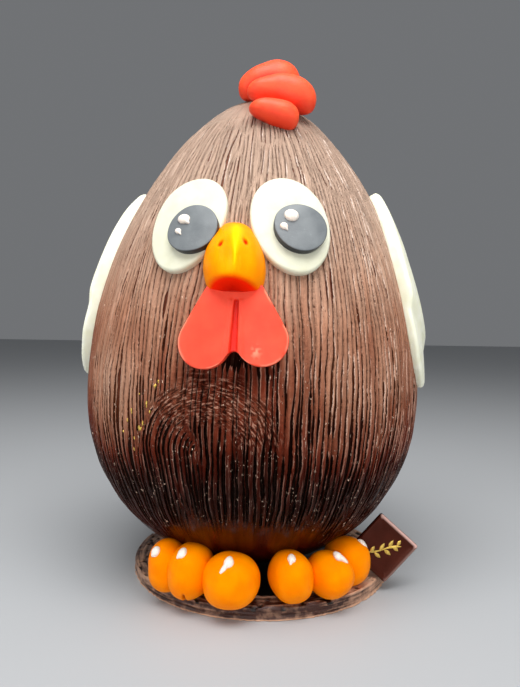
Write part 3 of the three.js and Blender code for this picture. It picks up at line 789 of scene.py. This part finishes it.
# Rows run down the beak to its lip, and columns over its arch and back along its flat back. The
# arch widens and stands out further down the rows, by powers of a sine, and across each row it falls
# off by a power of 1 - |t|^1.8. The underside's rows shrink from the lip to a point near the egg.
arch_columns, back_columns, beak_rows, under_rows = 140, 28, 70, 26
t = np.concatenate([
    -np.cos(np.pi * np.arange(arch_columns + 1) / arch_columns),
    np.cos(np.pi * np.arange(1, back_columns) / back_columns),
])[None, :]
is_back = (np.arange(t.size) > arch_columns)[None, :]
share = (np.linspace(0, 1, beak_rows) ** 1.4)[:, None]
fall = np.sin(np.minimum(1, share / BEAK["widest"]) * np.pi / 2) ** 0.42
narrowing = np.maximum(0, share - BEAK["widest"]) / (1 - BEAK["widest"])
width = BEAK["half_width"] * fall * (1 - 0.2 * narrowing**2)
crown = np.clip(1 - np.abs(t) ** 1.8, 0, 1)
u = t * width
tip_rise = BEAK["tip_rise"] * np.clip(1 - np.abs(t) ** 3, 0, 1) * ~is_back
v = BEAK["top"] + (BEAK["lip"] + tip_rise - BEAK["top"]) * share
ridge = BEAK["reach"] * np.sin(share * np.pi / 2) ** 0.8
crest_line = 0.18 - 0.04 * share  # the crest stands a little to one side,
crest_width = np.maximum(0.34 - 0.42 * share, 0.05)  # and narrows on its way down
crest = np.exp(-(((t - crest_line) / crest_width) ** 2)) * ease(share, 0.02, 0.25)
crest = crest * (1 - ease(share, 0.66, 0.97))
flank = np.exp(-(((np.abs(t - crest_line) - 0.3) / 0.14) ** 2)) * ease(share, 0.1, 0.4)
out = ridge * crown ** 0.62 + 0.85 * crest - 0.5 * flank * (1 - ease(share, 0.7, 1.0))
pricked = 0
for nostril_u, nostril_v, lean in NOSTRILS:
    turn = math.radians(lean)
    du, dv = u - nostril_u, v - nostril_v
    wide = du * math.cos(turn) - dv * math.sin(turn)
    tall = du * math.sin(turn) + dv * math.cos(turn)
    slit = np.exp(-((wide / NOSTRIL["half"][0]) ** 2) - (tall / NOSTRIL["half"][1]) ** 2)
    pricked = pricked + slit * ~is_back
    lip = np.exp(-((wide / 1.3) ** 2) - ((tall + 2.1) / 0.8) ** 2)  # pushed up below the slit
    out = out - NOSTRIL["deep"] * slit + NOSTRIL["lip"] * lip
out = np.where(is_back, -0.4, np.maximum(out, -0.4))
middle_v, middle_out = BEAK["lip"] - 0.8, BEAK["reach"] * 0.42
inward = (np.linspace(1, 0, under_rows) ** 1.2)[1:, None]
u = np.vstack([u, u[-1:] * inward])
v = np.vstack([v, middle_v + (v[-1:] - middle_v) * inward])
out = np.vstack([out, middle_out + (out[-1:] - middle_out) * inward])
for _ in range(6):  # rounds the lip
    u[1:-1], v[1:-1], out[1:-1] = [(a[:-2] + 2 * a[1:-1] + a[2:]) / 4 for a in (u, v, out)]
# Past 0.76 the underside is also painted darker as painted shade.
red_spray_and_shade = np.linspace(0.72, 1, under_rows - 1)[:, None]  # deeper towards the egg
under = np.vstack([np.zeros((beak_rows, 1)), red_spray_and_shade]) + 0 * u
for _ in range(14):  # fades the red across the lip
    under[1:-1] = (under[:-2] + 2 * under[1:-1] + under[2:]) / 4
under[:beak_rows] = np.maximum(under[:beak_rows], np.minimum(pricked, 0.85))
u = u - BEAK["lean"] * (v + 5.5)
crest_highlight = 0.8 * np.vstack([crest, np.zeros((under_rows - 1, t.size))])
points = lay(BEAK["turn"], BEAK["height"])(u, v, out)
beak = add_surface("beak_cone", points, beak_paste, crest=crest_highlight, under=under)
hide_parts("beak")

# ---- Wattle ------------------------------------------------------------------------------------
# An upside-down heart cut from rolled red sugar paste and stuck on under the beak, with a slit drawn up
# its middle with a modelling tool and a pale scuff on one lobe. The slit is painted a deeper red as
# painted shade, and the cut edge is painted pale as painted highlight.

WATTLE = {
    "turn": -5.5, "height": 117.5, "top": 3.9, "edge": 0.8, "rings": 70,
    "corner": (9.6, 10.2), "notch": (0.9, -14.6),
    "left": (-10.2, -12.1, 9.7), "right": (10.8, -10.6, 9.4),  # each lobe's middle and radius
}
SLIT = {"top": (0.9, 4.3), "bottom": (0.7, -13.6), "narrow": 0.85, "wide": 1.45, "deep": 1.7}
SCUFF = {"middle": (8.6, -14.6), "half": (1.5, 1.9)}


def arc(middle_u, middle_v, radius, start, stop, count=40):
    """Points round part of a circle, with its angles in degrees."""
    angle = np.radians(np.linspace(start, stop, count))
    return np.stack([middle_u + radius * np.cos(angle), middle_v + radius * np.sin(angle)], -1)


def bow(start, pull, stop, count=16):
    """Points along a curve from start to stop, drawn towards pull."""
    way = np.linspace(0, 1, count)[:, None]
    start, pull, stop = (np.asarray(point, float) for point in (start, pull, stop))
    return (1 - way) ** 2 * start + 2 * way * (1 - way) * pull + way**2 * stop


corner_u, corner_v = WATTLE["corner"]
notch = WATTLE["notch"]
left_lobe = arc(*WATTLE["left"], 149, 325)
right_lobe = arc(*WATTLE["right"], 215, 391)
heart = np.vstack([
    [(corner_u, corner_v), (-corner_u, corner_v)],
    left_lobe,
    bow(left_lobe[-1], (notch[0] - 1.6, notch[1]), notch)[1:],
    bow(notch, (notch[0] + 1.2, notch[1]), right_lobe[0])[1:-1],
    right_lobe,
])


def slit_relief(u, v):
    """A tapering slit with one sharp and one soft lip, over a gently uneven face."""
    down = np.clip((SLIT["top"][1] - v) / (SLIT["top"][1] - SLIT["bottom"][1]), 0, 1.3)
    centre = SLIT["top"][0] + (SLIT["bottom"][0] - SLIT["top"][0]) * down
    half = SLIT["narrow"] + (SLIT["wide"] - SLIT["narrow"]) * down
    inside = 1 - ease(np.abs(u - centre), half * 0.6, half * 1.2)
    lips = 0.35 * np.exp(-((np.abs(u - centre) - half * 1.9) / 0.9) ** 2)
    window = ease(SLIT["top"][1] - v, -0.3, 0.6)
    return (lips - SLIT["deep"] * inside) * window + 0.3 * (drift(u / 8, v / 8, 51) - 0.5)


points, u, v = plate(
    lay(WATTLE["turn"], WATTLE["height"]), even(heart, 420, 6), (0.9, -4.5), WATTLE["top"],
    WATTLE["edge"], relief=slit_relief, rings=WATTLE["rings"], foot=0.5,
)
red_paste, tree, shade, shader = sugar_paste(
    "rolled_red_sugar_paste", "#fb5034", "#f5462d", roughness=0.46, shine=0.4, glow=(1, 0.12, 0.06),
)
# The slit is painted a deeper red as painted shade; the scuff and the cut edge's painted highlight are
# pale.
scuff = add_node(tree, "Attribute", {}, attribute_name="scuff").outputs["Fac"]
slit_share = add_node(tree, "Attribute", {}, attribute_name="slit").outputs["Fac"]
slit_shaded = add_node(tree, "Mix", {0: slit_share, 6: shade, 7: linear("#e01c08")}, data_type="RGBA")
scuffed = add_node(tree, "Mix", {0: scuff, 6: slit_shaded, 7: linear("#ff9a7a")}, data_type="RGBA")
tree.links.new(scuffed.outputs[2], shader.inputs["Base Color"])
aside = (u - SCUFF["middle"][0]) / SCUFF["half"][0]
above = (v - SCUFF["middle"][1]) / SCUFF["half"][1]
rim_highlight_and_scuff_mask = np.exp(-(aside**2) - above**2) * ease(drift(u / 0.9, v / 0.9, 52), 0.35, 0.7)
past_face = np.arange(len(u))[:, None] - WATTLE["rings"]
rim = np.exp(-(((past_face - 1) / 1.6) ** 2))  # the cut edge is painted pale as painted highlight
rim_highlight_and_scuff_mask = np.maximum(rim_highlight_and_scuff_mask, rim * ease(drift(u / 3, v / 3, 53), 0.3, 0.7))
slit_field = np.clip(-slit_relief(u, v) / SLIT["deep"], 0, 1)
wattle = add_surface("wattle_heart", points, red_paste, scuff=0.8 * rim_highlight_and_scuff_mask, slit=0.9 * slit_field)
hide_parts("wattle")

# ---- Comb --------------------------------------------------------------------------------------
# Three lumps of red sugar paste rolled in the palm, bent over the tip of the egg and pressed
# against each other, the last one standing up behind.

COMB = {
    # middle, half sizes across, deep and high, roll in degrees, how far the ends droop, and how
    # much thicker the right end is
    "comb_front": ((2.9, -35.6, 210.6), (10.7, 7.4, 5.8), 15, 0.7, 0.26),
    "comb_middle": ((6.4, -26.2, 223.0), (15.5, 9.2, 7.6), 10, 2.0, 0.18),
    "comb_back": ((0.6, -13.2, 231.8), (14.9, 11.0, 9.2), -10, 1.4, 0.18),
}


def rounded(half, plump, rows=60, columns=96):
    """A ball stretched to its half sizes, over its rise and spin: the points where the sum of the
    shares to the power plump is 1, so that a plump above 2 squares it off a little."""
    rise = np.linspace(-np.pi / 2, np.pi / 2, rows)[:, None]
    spin = np.linspace(0, 2 * np.pi, columns, endpoint=False)[None, :]
    across, deep, high = np.cos(rise) * np.cos(spin), np.cos(rise) * np.sin(spin), np.sin(rise)
    unit = np.stack(np.broadcast_arrays(across, deep, high), -1)
    size = (np.abs(unit) ** plump).sum(-1, keepdims=True) ** (1 / plump)
    return unit / size * np.asarray(half, float), unit


def uneven(points, unit, amount, grain, seed):
    """Pushes the surface in and out by smooth noise in three crossing directions."""
    x, y, z = (points[..., axis] / grain for axis in range(3))
    wave = drift(x + 0.3 * z, y + 7, seed) + drift(y + 0.4 * x, z + 3, seed + 1)
    wave = wave + drift(z, x + 5, seed + 2)
    return points + unit * (amount * (wave - 1.5))[..., None]


comb_paste, tree, shade, shader = sugar_paste(
    "hand_rolled_red_sugar_paste", "#ff5a30", "#fa4c2a", roughness=0.5, shine=0.4, glow=(1, 0.15, 0.08),
)
# Underneath each lobe and in the creases where it presses on the lobe in front, the paste is painted a
# deeper red as painted shade.
crease = add_node(tree, "Attribute", {}, attribute_name="crease").outputs["Fac"]
crease_shaded = add_node(tree, "Mix", {0: crease, 6: shade, 7: linear("#f01000")}, data_type="RGBA")
tree.links.new(crease_shaded.outputs[2], shader.inputs["Base Color"])
ahead = None  # the lobe in front, against which the next one is pressed
for number, (name, (middle, half, roll, droop, thicker)) in enumerate(COMB.items()):
    points, unit = rounded(half, plump=2.22)
    points = uneven(points, unit, amount=0.7, grain=7.0, seed=60 + 3 * number)
    rightwards = points[..., 0] / half[0]
    points[..., 2] = points[..., 2] * (1 + thicker * rightwards) - droop * rightwards**2
    rolled = points @ np.array(Matrix.Rotation(math.radians(roll), 3, "Y")).T
    points = rolled + np.asarray(middle, float)
    # The lobe is painted a deeper red underneath and where it presses on the lobe in front, as painted
    # shade.
    crease_and_underside_shade = 0.4 * ease(-unit[..., 2], -0.2, 0.8)  # underneath
    if ahead:
        off = np.linalg.norm((points - ahead[0]) / ahead[1], axis=-1)
        crease_and_underside_shade = np.maximum(crease_and_underside_shade, 0.85 * (1 - ease(off, 1.05, 1.5)))
    ahead = (np.array(middle), np.array(half))
    lobe = add_surface(name + "_lobe", points, comb_paste, crease=crease_and_underside_shade)
    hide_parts(name)

# ---- Wings -------------------------------------------------------------------------------------
# Each wing is a thick leaf of cream-white sugar paste stuck to the egg's side, with feathers
# drawn into its lower half and its edges rubbed round with a finger.

WINGS = {
    "left": {"turn": -77, "height": 129, "side": -1, "body": 6.2, "feather": 5.2},
    "right": {"turn": 59.5, "height": 130.5, "side": 1, "body": 5.2, "feather": 3.4},
}
WING_STATIONS = [  # down the front edge and up the back: each curve's start, two pulls and end
    ((16, 47), (6, 38), (0, 18), (0, 0)),
    ((0, 0), (0, -22), (4, -40), (19, -45.5)),
    ((19, -45.5), (27, -47), (31, -36), (29, -25)),
    ((29, -25), (34, -29), (40, -22), (38, -10)),
    ((38, -10), (43, -12), (46, -4), (44, 8)),
    ((44, 8), (42, 26), (34, 46), (16, 47)),
]
FEATHER_LINES = [((29, -25), (6, 2)), ((38, -10), (14, 14))]  # creases from each notch forwards


def curve(start, first, second, stop, count=24):
    """Points along a curve from start to stop, drawn towards two pulls; the last point is left out."""
    way = np.linspace(0, 1, count, endpoint=False)[:, None]
    start, first, second, stop = (np.asarray(point, float) for point in (start, first, second, stop))
    return ((1 - way) ** 3 * start + 3 * way * (1 - way) ** 2 * first
            + 3 * way**2 * (1 - way) * second + way**3 * stop)


FEATHER_CREASE = {"deep": 1.6, "half": 1.1, "bow": 2.5}


def feathers(u, v, step):
    """Thins towards the lower feather by a step where the upper wing overlaps it, and cuts a bowed
    crease along each feather line, which fades out at both ends."""
    lift = -step * ease(-(v + 0.75 * u) - 2, 0, 7)
    for (near_u, near_v), (far_u, far_v) in FEATHER_LINES:
        along_u, along_v = far_u - near_u, far_v - near_v
        length = math.hypot(along_u, along_v)
        way = ((u - near_u) * along_u + (v - near_v) * along_v) / length**2
        off = ((u - near_u) * along_v - (v - near_v) * along_u) / length
        bent = off - FEATHER_CREASE["bow"] * np.sin(np.pi * np.clip(way, 0, 1))
        crease = FEATHER_CREASE["deep"] * np.exp(-((bent / FEATHER_CREASE["half"]) ** 2))
        lift = lift - crease * ease(way, -0.1, 0.05) * (1 - ease(way, 0.7, 1.0))
    return lift + 0.5 * (drift(u / 9, v / 11, 71) - 0.5)


wing_paste, *_ = sugar_paste(
    "cream_white_sugar_paste", "#f3f3e0", "#e9e9ce", roughness=0.5, shine=0.3, depth=0.2,
    glow=(1, 0.95, 0.7),
)
wing_outline = even(np.vstack([curve(*station) for station in WING_STATIONS]), 320, 8)
for name, wing in WINGS.items():
    side, body, step = wing["side"], wing["body"], wing["body"] - wing["feather"]
    points, _, _ = plate(
        lay(wing["turn"], wing["height"]), wing_outline * [side, 1], (side * 20, 2), body, edge=2.3,
        relief=lambda u, v: feathers(u * side, v, step), rings=44, foot=1.3,
    )
    leaf = add_surface(f"wing_leaf_{name}", points, wing_paste)
    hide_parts(f"wing_{name}")

# ---- Toes and nails ----------------------------------------------------------------------------
# Each foot is three balls of orange sugar paste pressed against the egg, against each other and
# flat on the disc. A drop of white icing on each is its nail, with a tail where the bag was lifted.

FEET = {
    # turn round the egg, distance from its axis, half sizes across, along and high, nail's turn,
    # rise and half width, and the nail's tail and the way it points
    "left_inner": (-5, 59.4, (11.8, 11.6, 10.7), (-3, 59, 2.2, 1.3, -116)),
    "left_middle": (-23, 56.6, (9, 11.2, 11.3), (-6, 54, 2.1, 0.4, -116)),
    "left_outer": (-35, 57.5, (7.5, 9.2, 11.0), (-2, 45, 2.1, 0.2, -110)),
    "right_inner": (19, 58.4, (8.8, 10.8, 10.5), (-24, 62, 1.8, 0.5, -100)),
    "right_middle": (35, 61.4, (9, 11, 9.6), (9, 66, 1.9, 1.4, -64)),
    "right_outer": (49.5, 58.4, (9, 10.6, 10.3), (32, 53, 1.9, 1.0, -76)),
}

# The paste of one toe split near its foot as it was pressed down, and the split is painted dark as
# painted shade. The split's place, slant and half width are shares of the toe's half sizes, and its
# depth is in millimetres.
CRACK = {"toe": "left_middle", "aside": 0.12, "slant": 0.3, "half": 0.055, "deep": 2.0}

toe_paste, tree, shade, shader = sugar_paste(
    "hand_rolled_orange_sugar_paste", "#ff8e00", "#fb8200", roughness=0.46, shine=0.14,
    glow=(1, 0.35, 0.04), tint="#ffa840",
)
# The split is painted dark as painted shade.
split_share = add_node(tree, "Attribute", {}, attribute_name="split").outputs["Fac"]
split_shaded = add_node(tree, "Mix", {0: split_share, 6: shade, 7: linear("#8c1c00")}, data_type="RGBA")
tree.links.new(split_shaded.outputs[2], shader.inputs["Base Color"])
for number, (label, (turn, reach, half, nail)) in enumerate(FEET.items()):
    angle = math.radians(turn)
    middle = np.array([
        EGG_OFFSET[0] + reach * math.sin(angle),
        EGG_OFFSET[1] - reach * math.cos(angle),
        DISC_TOP + half[2] * 0.97,
    ])
    spin = np.array(Matrix.Rotation(angle, 3, "Z"))
    is_cracked = label == CRACK["toe"]
    rows, columns = (120, 240) if is_cracked else (80, 120)
    points, unit = rounded(half, 2.18, rows, columns)
    points = uneven(points, unit, amount=0.75, grain=8.0, seed=80 + 3 * number)
    aside = unit[..., 0] - CRACK["aside"] - CRACK["slant"] * (unit[..., 2] + 0.75)
    split = is_cracked * ease(-unit[..., 2], 0.42, 0.7) * np.exp(-((aside / CRACK["half"]) ** 2))
    points = points - CRACK["deep"] * unit * split[..., None]
    low = DISC_TOP - middle[2]
    points[..., 2] = low + np.maximum(points[..., 2] - low, 0)
    toe = add_surface(f"toe_ball_{label}", points @ spin.T + middle, toe_paste, split=0.8 * split)
    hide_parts(f"toe_{label}")

    nail_turn, rise, size, tail, tail_turn = nail
    sizes = np.asarray(half, float)
    round_reach = half[0] * math.cos(math.radians(rise))

    def on_toe(u, v, out):
        """The point on the ball at a way across and up from the nail's middle, and out from it."""
        way = math.radians(nail_turn) + u / round_reach
        up = math.radians(rise) + v / sizes[2]
        point = np.stack([np.sin(way) * np.cos(up), -np.cos(way) * np.cos(up), np.sin(up)], -1)
        normal = point / sizes
        normal = normal / np.linalg.norm(normal, axis=-1, keepdims=True)
        return (point * sizes + normal * np.asarray(out)[..., None]) @ spin.T + middle

    points = drop(on_toe, 0.15, (0, 0), (size * 0.86, size * 1.15), size * 0.8, tail, tail_turn)
    claw = add_surface(f"nail_drop_{label}", points, icing)
    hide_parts(f"nail_{label}")

# ---- Disc --------------------------------------------------------------------------------------
# A thick disc of dark chocolate poured in a ring and brushed as the egg was. Its rim is a broad
# raised band with strokes along it, a ragged crest inside and a burr round its foot.

DISC_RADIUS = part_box("base_disc")[1].x * 1000
RIM_BAND = 9.5
BAND_START = DISC_RADIUS - RIM_BAND  # radius of the raised band's inner edge
DISC_COLUMNS = 1080
disc_turn = np.linspace(0, 2 * np.pi, DISC_COLUMNS, endpoint=False)[None, :]
disc_ring = disc_turn / (2 * np.pi)
profile = np.vstack([
    [(way * (BAND_START - 2.5), DISC_TOP - 1.1) for way in np.linspace(0, 1, 12)],
    [(BAND_START - 0.9, DISC_TOP - 0.9), (BAND_START, DISC_TOP - 0.1)],
    [(BAND_START + way * (RIM_BAND - 1.1), DISC_TOP) for way in np.linspace(0.06, 1, 22)],
    arc(DISC_RADIUS - 1.1, DISC_TOP - 1.1, 1.1, 80, 5, 8),
    [(DISC_RADIUS, level) for level in np.linspace(DISC_TOP - 1.5, 0.5, 16)],
    [(DISC_RADIUS - 0.1, 0.2), (DISC_RADIUS - 0.4, 0.0), (DISC_RADIUS * 0.5, 0.0), (0, 0)],
])
# The profile, turned round the disc's axis, is pushed up on the band and outwards on the wall by
# noise drawn out along the brush's strokes, and by finer noise along the crest and the burr.
radius, level = profile[:, :1], profile[:, 1:]
on_band = ease(radius, BAND_START - 1.2, BAND_START) * ease(level, DISC_TOP - 2, DISC_TOP - 1)
on_wall = (radius > DISC_RADIUS - 0.6) * ease(level, 0.1, 0.5)
on_wall = on_wall * (1 - ease(level, DISC_TOP - 1.5, DISC_TOP - 0.4))
band_strokes = ring_drift(disc_ring, radius, 20, 0.6, 91)
band_strokes = band_strokes + 0.5 * ring_drift(disc_ring, radius, 70, 0.4, 92) - 0.75
crest = np.exp(-((radius - (BAND_START + 0.2)) / 0.8) ** 2)
jagged = ring_drift(disc_ring, 0, 240, 1, 93) * 0.7 + ring_drift(disc_ring, 0, 90, 1, 94) * 0.5
wall_strokes = ring_drift(disc_ring, level, 24, 0.6, 95)
wall_strokes = wall_strokes + 0.5 * ring_drift(disc_ring, level, 110, 0.7, 96) - 0.75
lump = ring_drift(disc_ring, 0, 26, 1, 97) - 0.5
crack = ease(ring_drift(disc_ring, radius, 130, 1.6, 98), 0.74, 0.86)
up = on_band * (0.45 * band_strokes - 0.7 * crack) + crest * on_band * (jagged - 0.35)
burr_line = np.exp(-((level - 0.35) / 0.35) ** 2) * (radius > DISC_RADIUS - 1)
outward = on_wall * (0.5 * wall_strokes - 0.25) + 0.35 * lump * (radius > DISC_RADIUS - 3)
outward = outward + burr_line * (ring_drift(disc_ring, 0, 300, 1, 99) * 0.9 - 0.35)
points = np.stack(np.broadcast_arrays(
    (radius + outward) * np.sin(disc_turn), -(radius + outward) * np.cos(disc_turn), level + up,
), -1)

disc_chocolate, tree = new_material("brushed_disc_chocolate")
# Scraped dark chocolate with a dull bloom: pale on the raised strokes, and painted dark as painted
# shade where they broke and in the well under the egg.
pale = add_node(tree, "Attribute", {}, attribute_name="pale").outputs["Fac"]
hollow = add_node(tree, "Attribute", {}, attribute_name="hollow").outputs["Fac"]
place = add_node(tree, "TexCoord", {}).outputs["Object"]
bloom_and_painted_light = add_node(
    tree, "TexNoise", {"Vector": place, "Scale": 1 / 0.004, "Detail": 5.0, "Roughness": 0.6},
)
bloom_share = add_node(tree, "MapRange", {0: bloom_and_painted_light, 1: 0.35, 2: 0.65, 3: -0.25, 4: 0.25})
paleness = add_node(tree, "Math", {0: pale, 1: bloom_share}, operation="ADD", use_clamp=True)
scraped_and_shaded = add_node(
    tree, "Mix", {0: paleness, 6: linear("#38180c"), 7: linear("#cc9e80")}, data_type="RGBA",
)
shaded = add_node(tree, "Mix", {0: hollow, 6: scraped_and_shaded, 7: linear("#0d0403")}, data_type="RGBA")
grit = add_node(tree, "TexNoise", {"Vector": place, "Scale": 1 / 0.0007, "Detail": 3.0})
grit_bump = add_node(tree, "Bump", {"Strength": 0.5, "Distance": 0.0003, "Height": grit})
finish_material(tree, add_node(tree, "BsdfPrincipled", {
    "Base Color": shaded, "Roughness": 0.45, "IOR": 1.46, "Normal": grit_bump,
}))
# Raised strokes are scraped pale, and the crest and the burr are pale too. The colour is paler towards
# the right of the disc, less pale on the wall, and darker in front as painted shade of the toes. The
# well inside the band under the egg, and cracks and deep strokes in the rim, are painted dark as
# painted shade.
pale_field = 0.33 - 0.26 * on_wall + 0.9 * (on_band * band_strokes + on_wall * wall_strokes)
pale_field = pale_field + 1.2 * burr_line + 0.8 * crest
pale_field = pale_field + 0.12 + 0.5 * ease(np.sin(disc_turn), 0.3, 0.8)
pale_field = np.clip(pale_field - 0.36 * ease(np.cos(disc_turn), 0.5, 0.9), 0, 1)
hollow_field = np.maximum(1 - ease(radius, BAND_START - 2, BAND_START), crack * on_band) * (level > 2)
hollow_field = np.maximum(hollow_field, on_wall * ease(-wall_strokes, 0.35, 0.55))
hollow_field = np.broadcast_to(hollow_field, points.shape[:2])
disc = add_surface("disc_brushed", points, disc_chocolate, pale=pale_field, hollow=hollow_field)
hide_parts("base_disc")

# ---- Plaque ------------------------------------------------------------------------------------
# A square tile of dark chocolate from a polished mould, so its face is flat and glossy and its
# edges are bevelled. It stands on one corner. A plain gold sprig is painted on its face.

tile_low, tile_high = (np.array(corner) * 1000 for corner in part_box("plaque"))
TILE_MIDDLE = (tile_low + tile_high) / 2
TILE_THICK = tile_high[1] - tile_low[1]
TILE_SIDE = 22.4
TILE_LEAN = math.radians(45 + 3.4)
TILE_BEVEL = 0.75
TILE_SUNK = 0.25  # how far the face lies below its rim


def on_tile(p, q, out):
    """A point on the tile: p and q along its sides from its middle, and out from its face."""
    x = p * math.cos(TILE_LEAN) - q * math.sin(TILE_LEAN)
    z = p * math.sin(TILE_LEAN) + q * math.cos(TILE_LEAN)
    x, z, out = np.broadcast_arrays(x, z, out)
    return np.stack([TILE_MIDDLE[0] + x, TILE_MIDDLE[1] - TILE_THICK / 2 - out, TILE_MIDDLE[2] + z], -1)


def squared(corner, count=160):
    """The outline of a square two units wide, its corners rounded off."""
    quarter = arc(1 - corner, 1 - corner, corner, 0, 90, 9)
    turns = [np.array(Matrix.Rotation(math.radians(90 * k), 2)) for k in range(4)]
    return even(np.vstack([quarter @ turn.T for turn in turns]), count)


moulded, tree = new_material("moulded_plaque_chocolate")
place = add_node(tree, "TexCoord", {}).outputs["Object"]
waves = add_node(tree, "TexNoise", {"Vector": place, "Scale": 1 / 0.006, "Detail": 2.0})
tints = add_node(tree, "Mix", {0: waves, 6: linear("#2a0b05"), 7: linear("#451a10")}, data_type="RGBA")
# The bevel along the upper right edge, and a little along the lower right one, is painted pale pink as
# painted highlight of the lamp.
rubbed = add_node(tree, "Attribute", {}, attribute_name="rubbed").outputs["Fac"]
bevel_highlighted = add_node(tree, "Mix", {0: rubbed, 6: tints, 7: linear("#d9b1a6")}, data_type="RGBA")
specks = add_node(tree, "TexNoise", {"Vector": place, "Scale": 1 / 0.0009, "Detail": 2.0})
face_bump = add_node(tree, "Bump", {"Strength": 0.12, "Distance": 0.0003, "Height": specks})
finish_material(tree, add_node(tree, "BsdfPrincipled", {
    "Base Color": bevel_highlighted, "Roughness": 0.22, "IOR": 1.46, "Specular IOR Level": 0.35,
    "Specular Tint": linear("#ffb09a"), "Normal": face_bump,
}))
half = TILE_SIDE / 2
rings = [  # half side and depth of each square ring, from the sunk face over the rim to the back
    (0.0, -TILE_SUNK), (half * 0.5, -TILE_SUNK), (half - 2.0, -TILE_SUNK),
    (half - 1.6, 0.0), (half - TILE_BEVEL, 0.0), (half - TILE_BEVEL * 0.7, -TILE_BEVEL * 0.1),
    (half - TILE_BEVEL * 0.1, -TILE_BEVEL * 0.7), (half, -TILE_BEVEL),
    (half, -TILE_THICK + 0.4), (half - 0.4, -TILE_THICK), (0.0, -TILE_THICK),
]
square = squared(0.09)
points = np.stack([on_tile(size * square[:, 0], size * square[:, 1], depth) for size, depth in rings])
on_bevel = np.array([
    size > half - TILE_BEVEL * 1.1 and depth > -TILE_BEVEL * 0.9 for size, depth in rings
])
# The bevel's painted highlight, strongest along its upper right edge.
rub = 0.75 * ease(square[:, 0], 0.9, 0.99) + 0.3 * ease(-square[:, 1], 0.9, 0.99)
rub = np.clip(on_bevel[:, None] * rub, 0, 0.8)
tile = add_surface("plaque_tile", points, moulded, rubbed=rub)
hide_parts("plaque")

gold, tree = new_material("edible_gold_paint")
place = add_node(tree, "TexCoord", {}).outputs["Object"]
flake = add_node(tree, "TexNoise", {"Vector": place, "Scale": 1 / 0.0008, "Detail": 4.0})
gold_tint = add_node(
    tree, "Mix", {0: flake, 6: linear("#a87818"), 7: linear("#ffe27a")}, data_type="RGBA",
)
gold_bump = add_node(tree, "Bump", {"Strength": 0.6, "Distance": 0.0003, "Height": flake})
finish_material(tree, add_node(tree, "BsdfPrincipled", {
    "Base Color": gold_tint, "Metallic": 0.85, "Roughness": 0.4, "Normal": gold_bump,
}))
SPRIG = [  # each leaf's place along the stem from -1 to 1, its side, and its length
    (-0.72, 1, 3.6), (-0.5, -1, 3.8), (-0.22, 1, 4.2), (0.02, -1, 4.2),
    (0.28, 1, 3.8), (0.5, -1, 3.4), (0.74, 1, 3.0),
]


def sprig_stem(way):
    """The stem's curve across the tile, level along the ground: across and up in millimetres."""
    return 8.2 * way, 1.6 * np.sin(way * 2.2) - 0.4


def painted(outline_across, outline_up, name):
    """A low stroke of paint inside an outline given level and upright, raised on the tile's face."""
    p = outline_across * math.cos(TILE_LEAN) + outline_up * math.sin(TILE_LEAN)
    q = -outline_across * math.sin(TILE_LEAN) + outline_up * math.cos(TILE_LEAN)
    outline = np.stack([p, q], -1)
    middle = outline.mean(0)
    share = np.array([0, 0.5, 0.85, 1, 1, 0])
    lift = np.array([0.22, 0.2, 0.12, 0, -0.15, -0.15]) - TILE_SUNK
    spots = middle + (outline - middle)[None] * share[:, None, None]
    return add_surface(name, on_tile(spots[..., 0], spots[..., 1], lift[:, None]), gold)


way = np.linspace(-1, 1, 40)
stem_x, stem_z = sprig_stem(way)
thick = 0.28 * (1.15 - np.abs(way))
stem_across = np.concatenate([stem_x, stem_x[::-1]])
stem_up = np.concatenate([stem_z + thick, (stem_z - thick)[::-1]])
stem = painted(stem_across, stem_up, "sprig_stem")
# Each leaf is a long oval drawn to a point at both ends: its width is a sine round it, thinned by
# the root of a sine along it.
for number, (spot, side, length) in enumerate(SPRIG):
    root_x, root_z = sprig_stem(spot)
    lean = math.radians(side * 48 + 8)
    around = np.linspace(0, 2 * np.pi, 28, endpoint=False)
    along = length * (1 - np.cos(around)) / 2
    wide = 0.85 * np.sin(around) * np.sin(np.pi * along / length) ** 0.5
    leaf_x = root_x + along * math.cos(lean) - wide * math.sin(lean)
    leaf_z = root_z + along * math.sin(lean) + wide * math.cos(lean)
    leaf = painted(leaf_x, leaf_z, f"sprig_leaf_{number}")

# ---- Gold leaf ---------------------------------------------------------------------------------
# A few torn crumbs of edible gold leaf stick to the brushed chocolate, low on the egg below the
# left eye. They have the gold of the sprig.

CRUMBS = [  # turn, height and size of each crumb, and its stretch up the egg
    (-33.1, 71.3, 1.0, 1.1), (-31.8, 73.6, 0.4, 2.2), (-27.8, 88.6, 0.7, 1.2),
    (-30.4, 81.4, 0.35, 3.2), (-36.2, 77.8, 0.35, 2.6), (-40.1, 69.0, 0.4, 1.4),
    (-35.4, 67.1, 0.35, 2.0), (-35.9, 62.5, 0.3, 2.4), (-33.1, 84.9, 0.3, 1.5),
    (-29.2, 78.5, 0.3, 2.0), (-37.9, 73.9, 0.3, 2.2), (-26.6, 90.4, 0.35, 1.6),
]
# Each crumb is a low cap in rings, whose ragged rim is a circle times noise round it.
for number, (turn, height, size, stretch) in enumerate(CRUMBS):
    around = np.linspace(0, 2 * np.pi, 40, endpoint=False)
    torn = size * (0.4 + 1.1 * drift(around / (2 * np.pi) * 11, number * 3.3, 101, 11))
    share = np.array([0, 0.4, 0.75, 1, 1, 0])[:, None]
    u = torn * np.cos(around) * share
    v = torn * np.sin(around) * share * stretch
    lift = np.array([0.55, 0.5, 0.45, 0.35, 0.2, 0.2])[:, None]
    lift = lift + 0.25 * (drift(u / 0.5, v / 0.5, 102) - 0.5)
    crumb = add_surface(f"gold_leaf_crumb_{number}", lay(turn, height)(u, v, lift), gold)
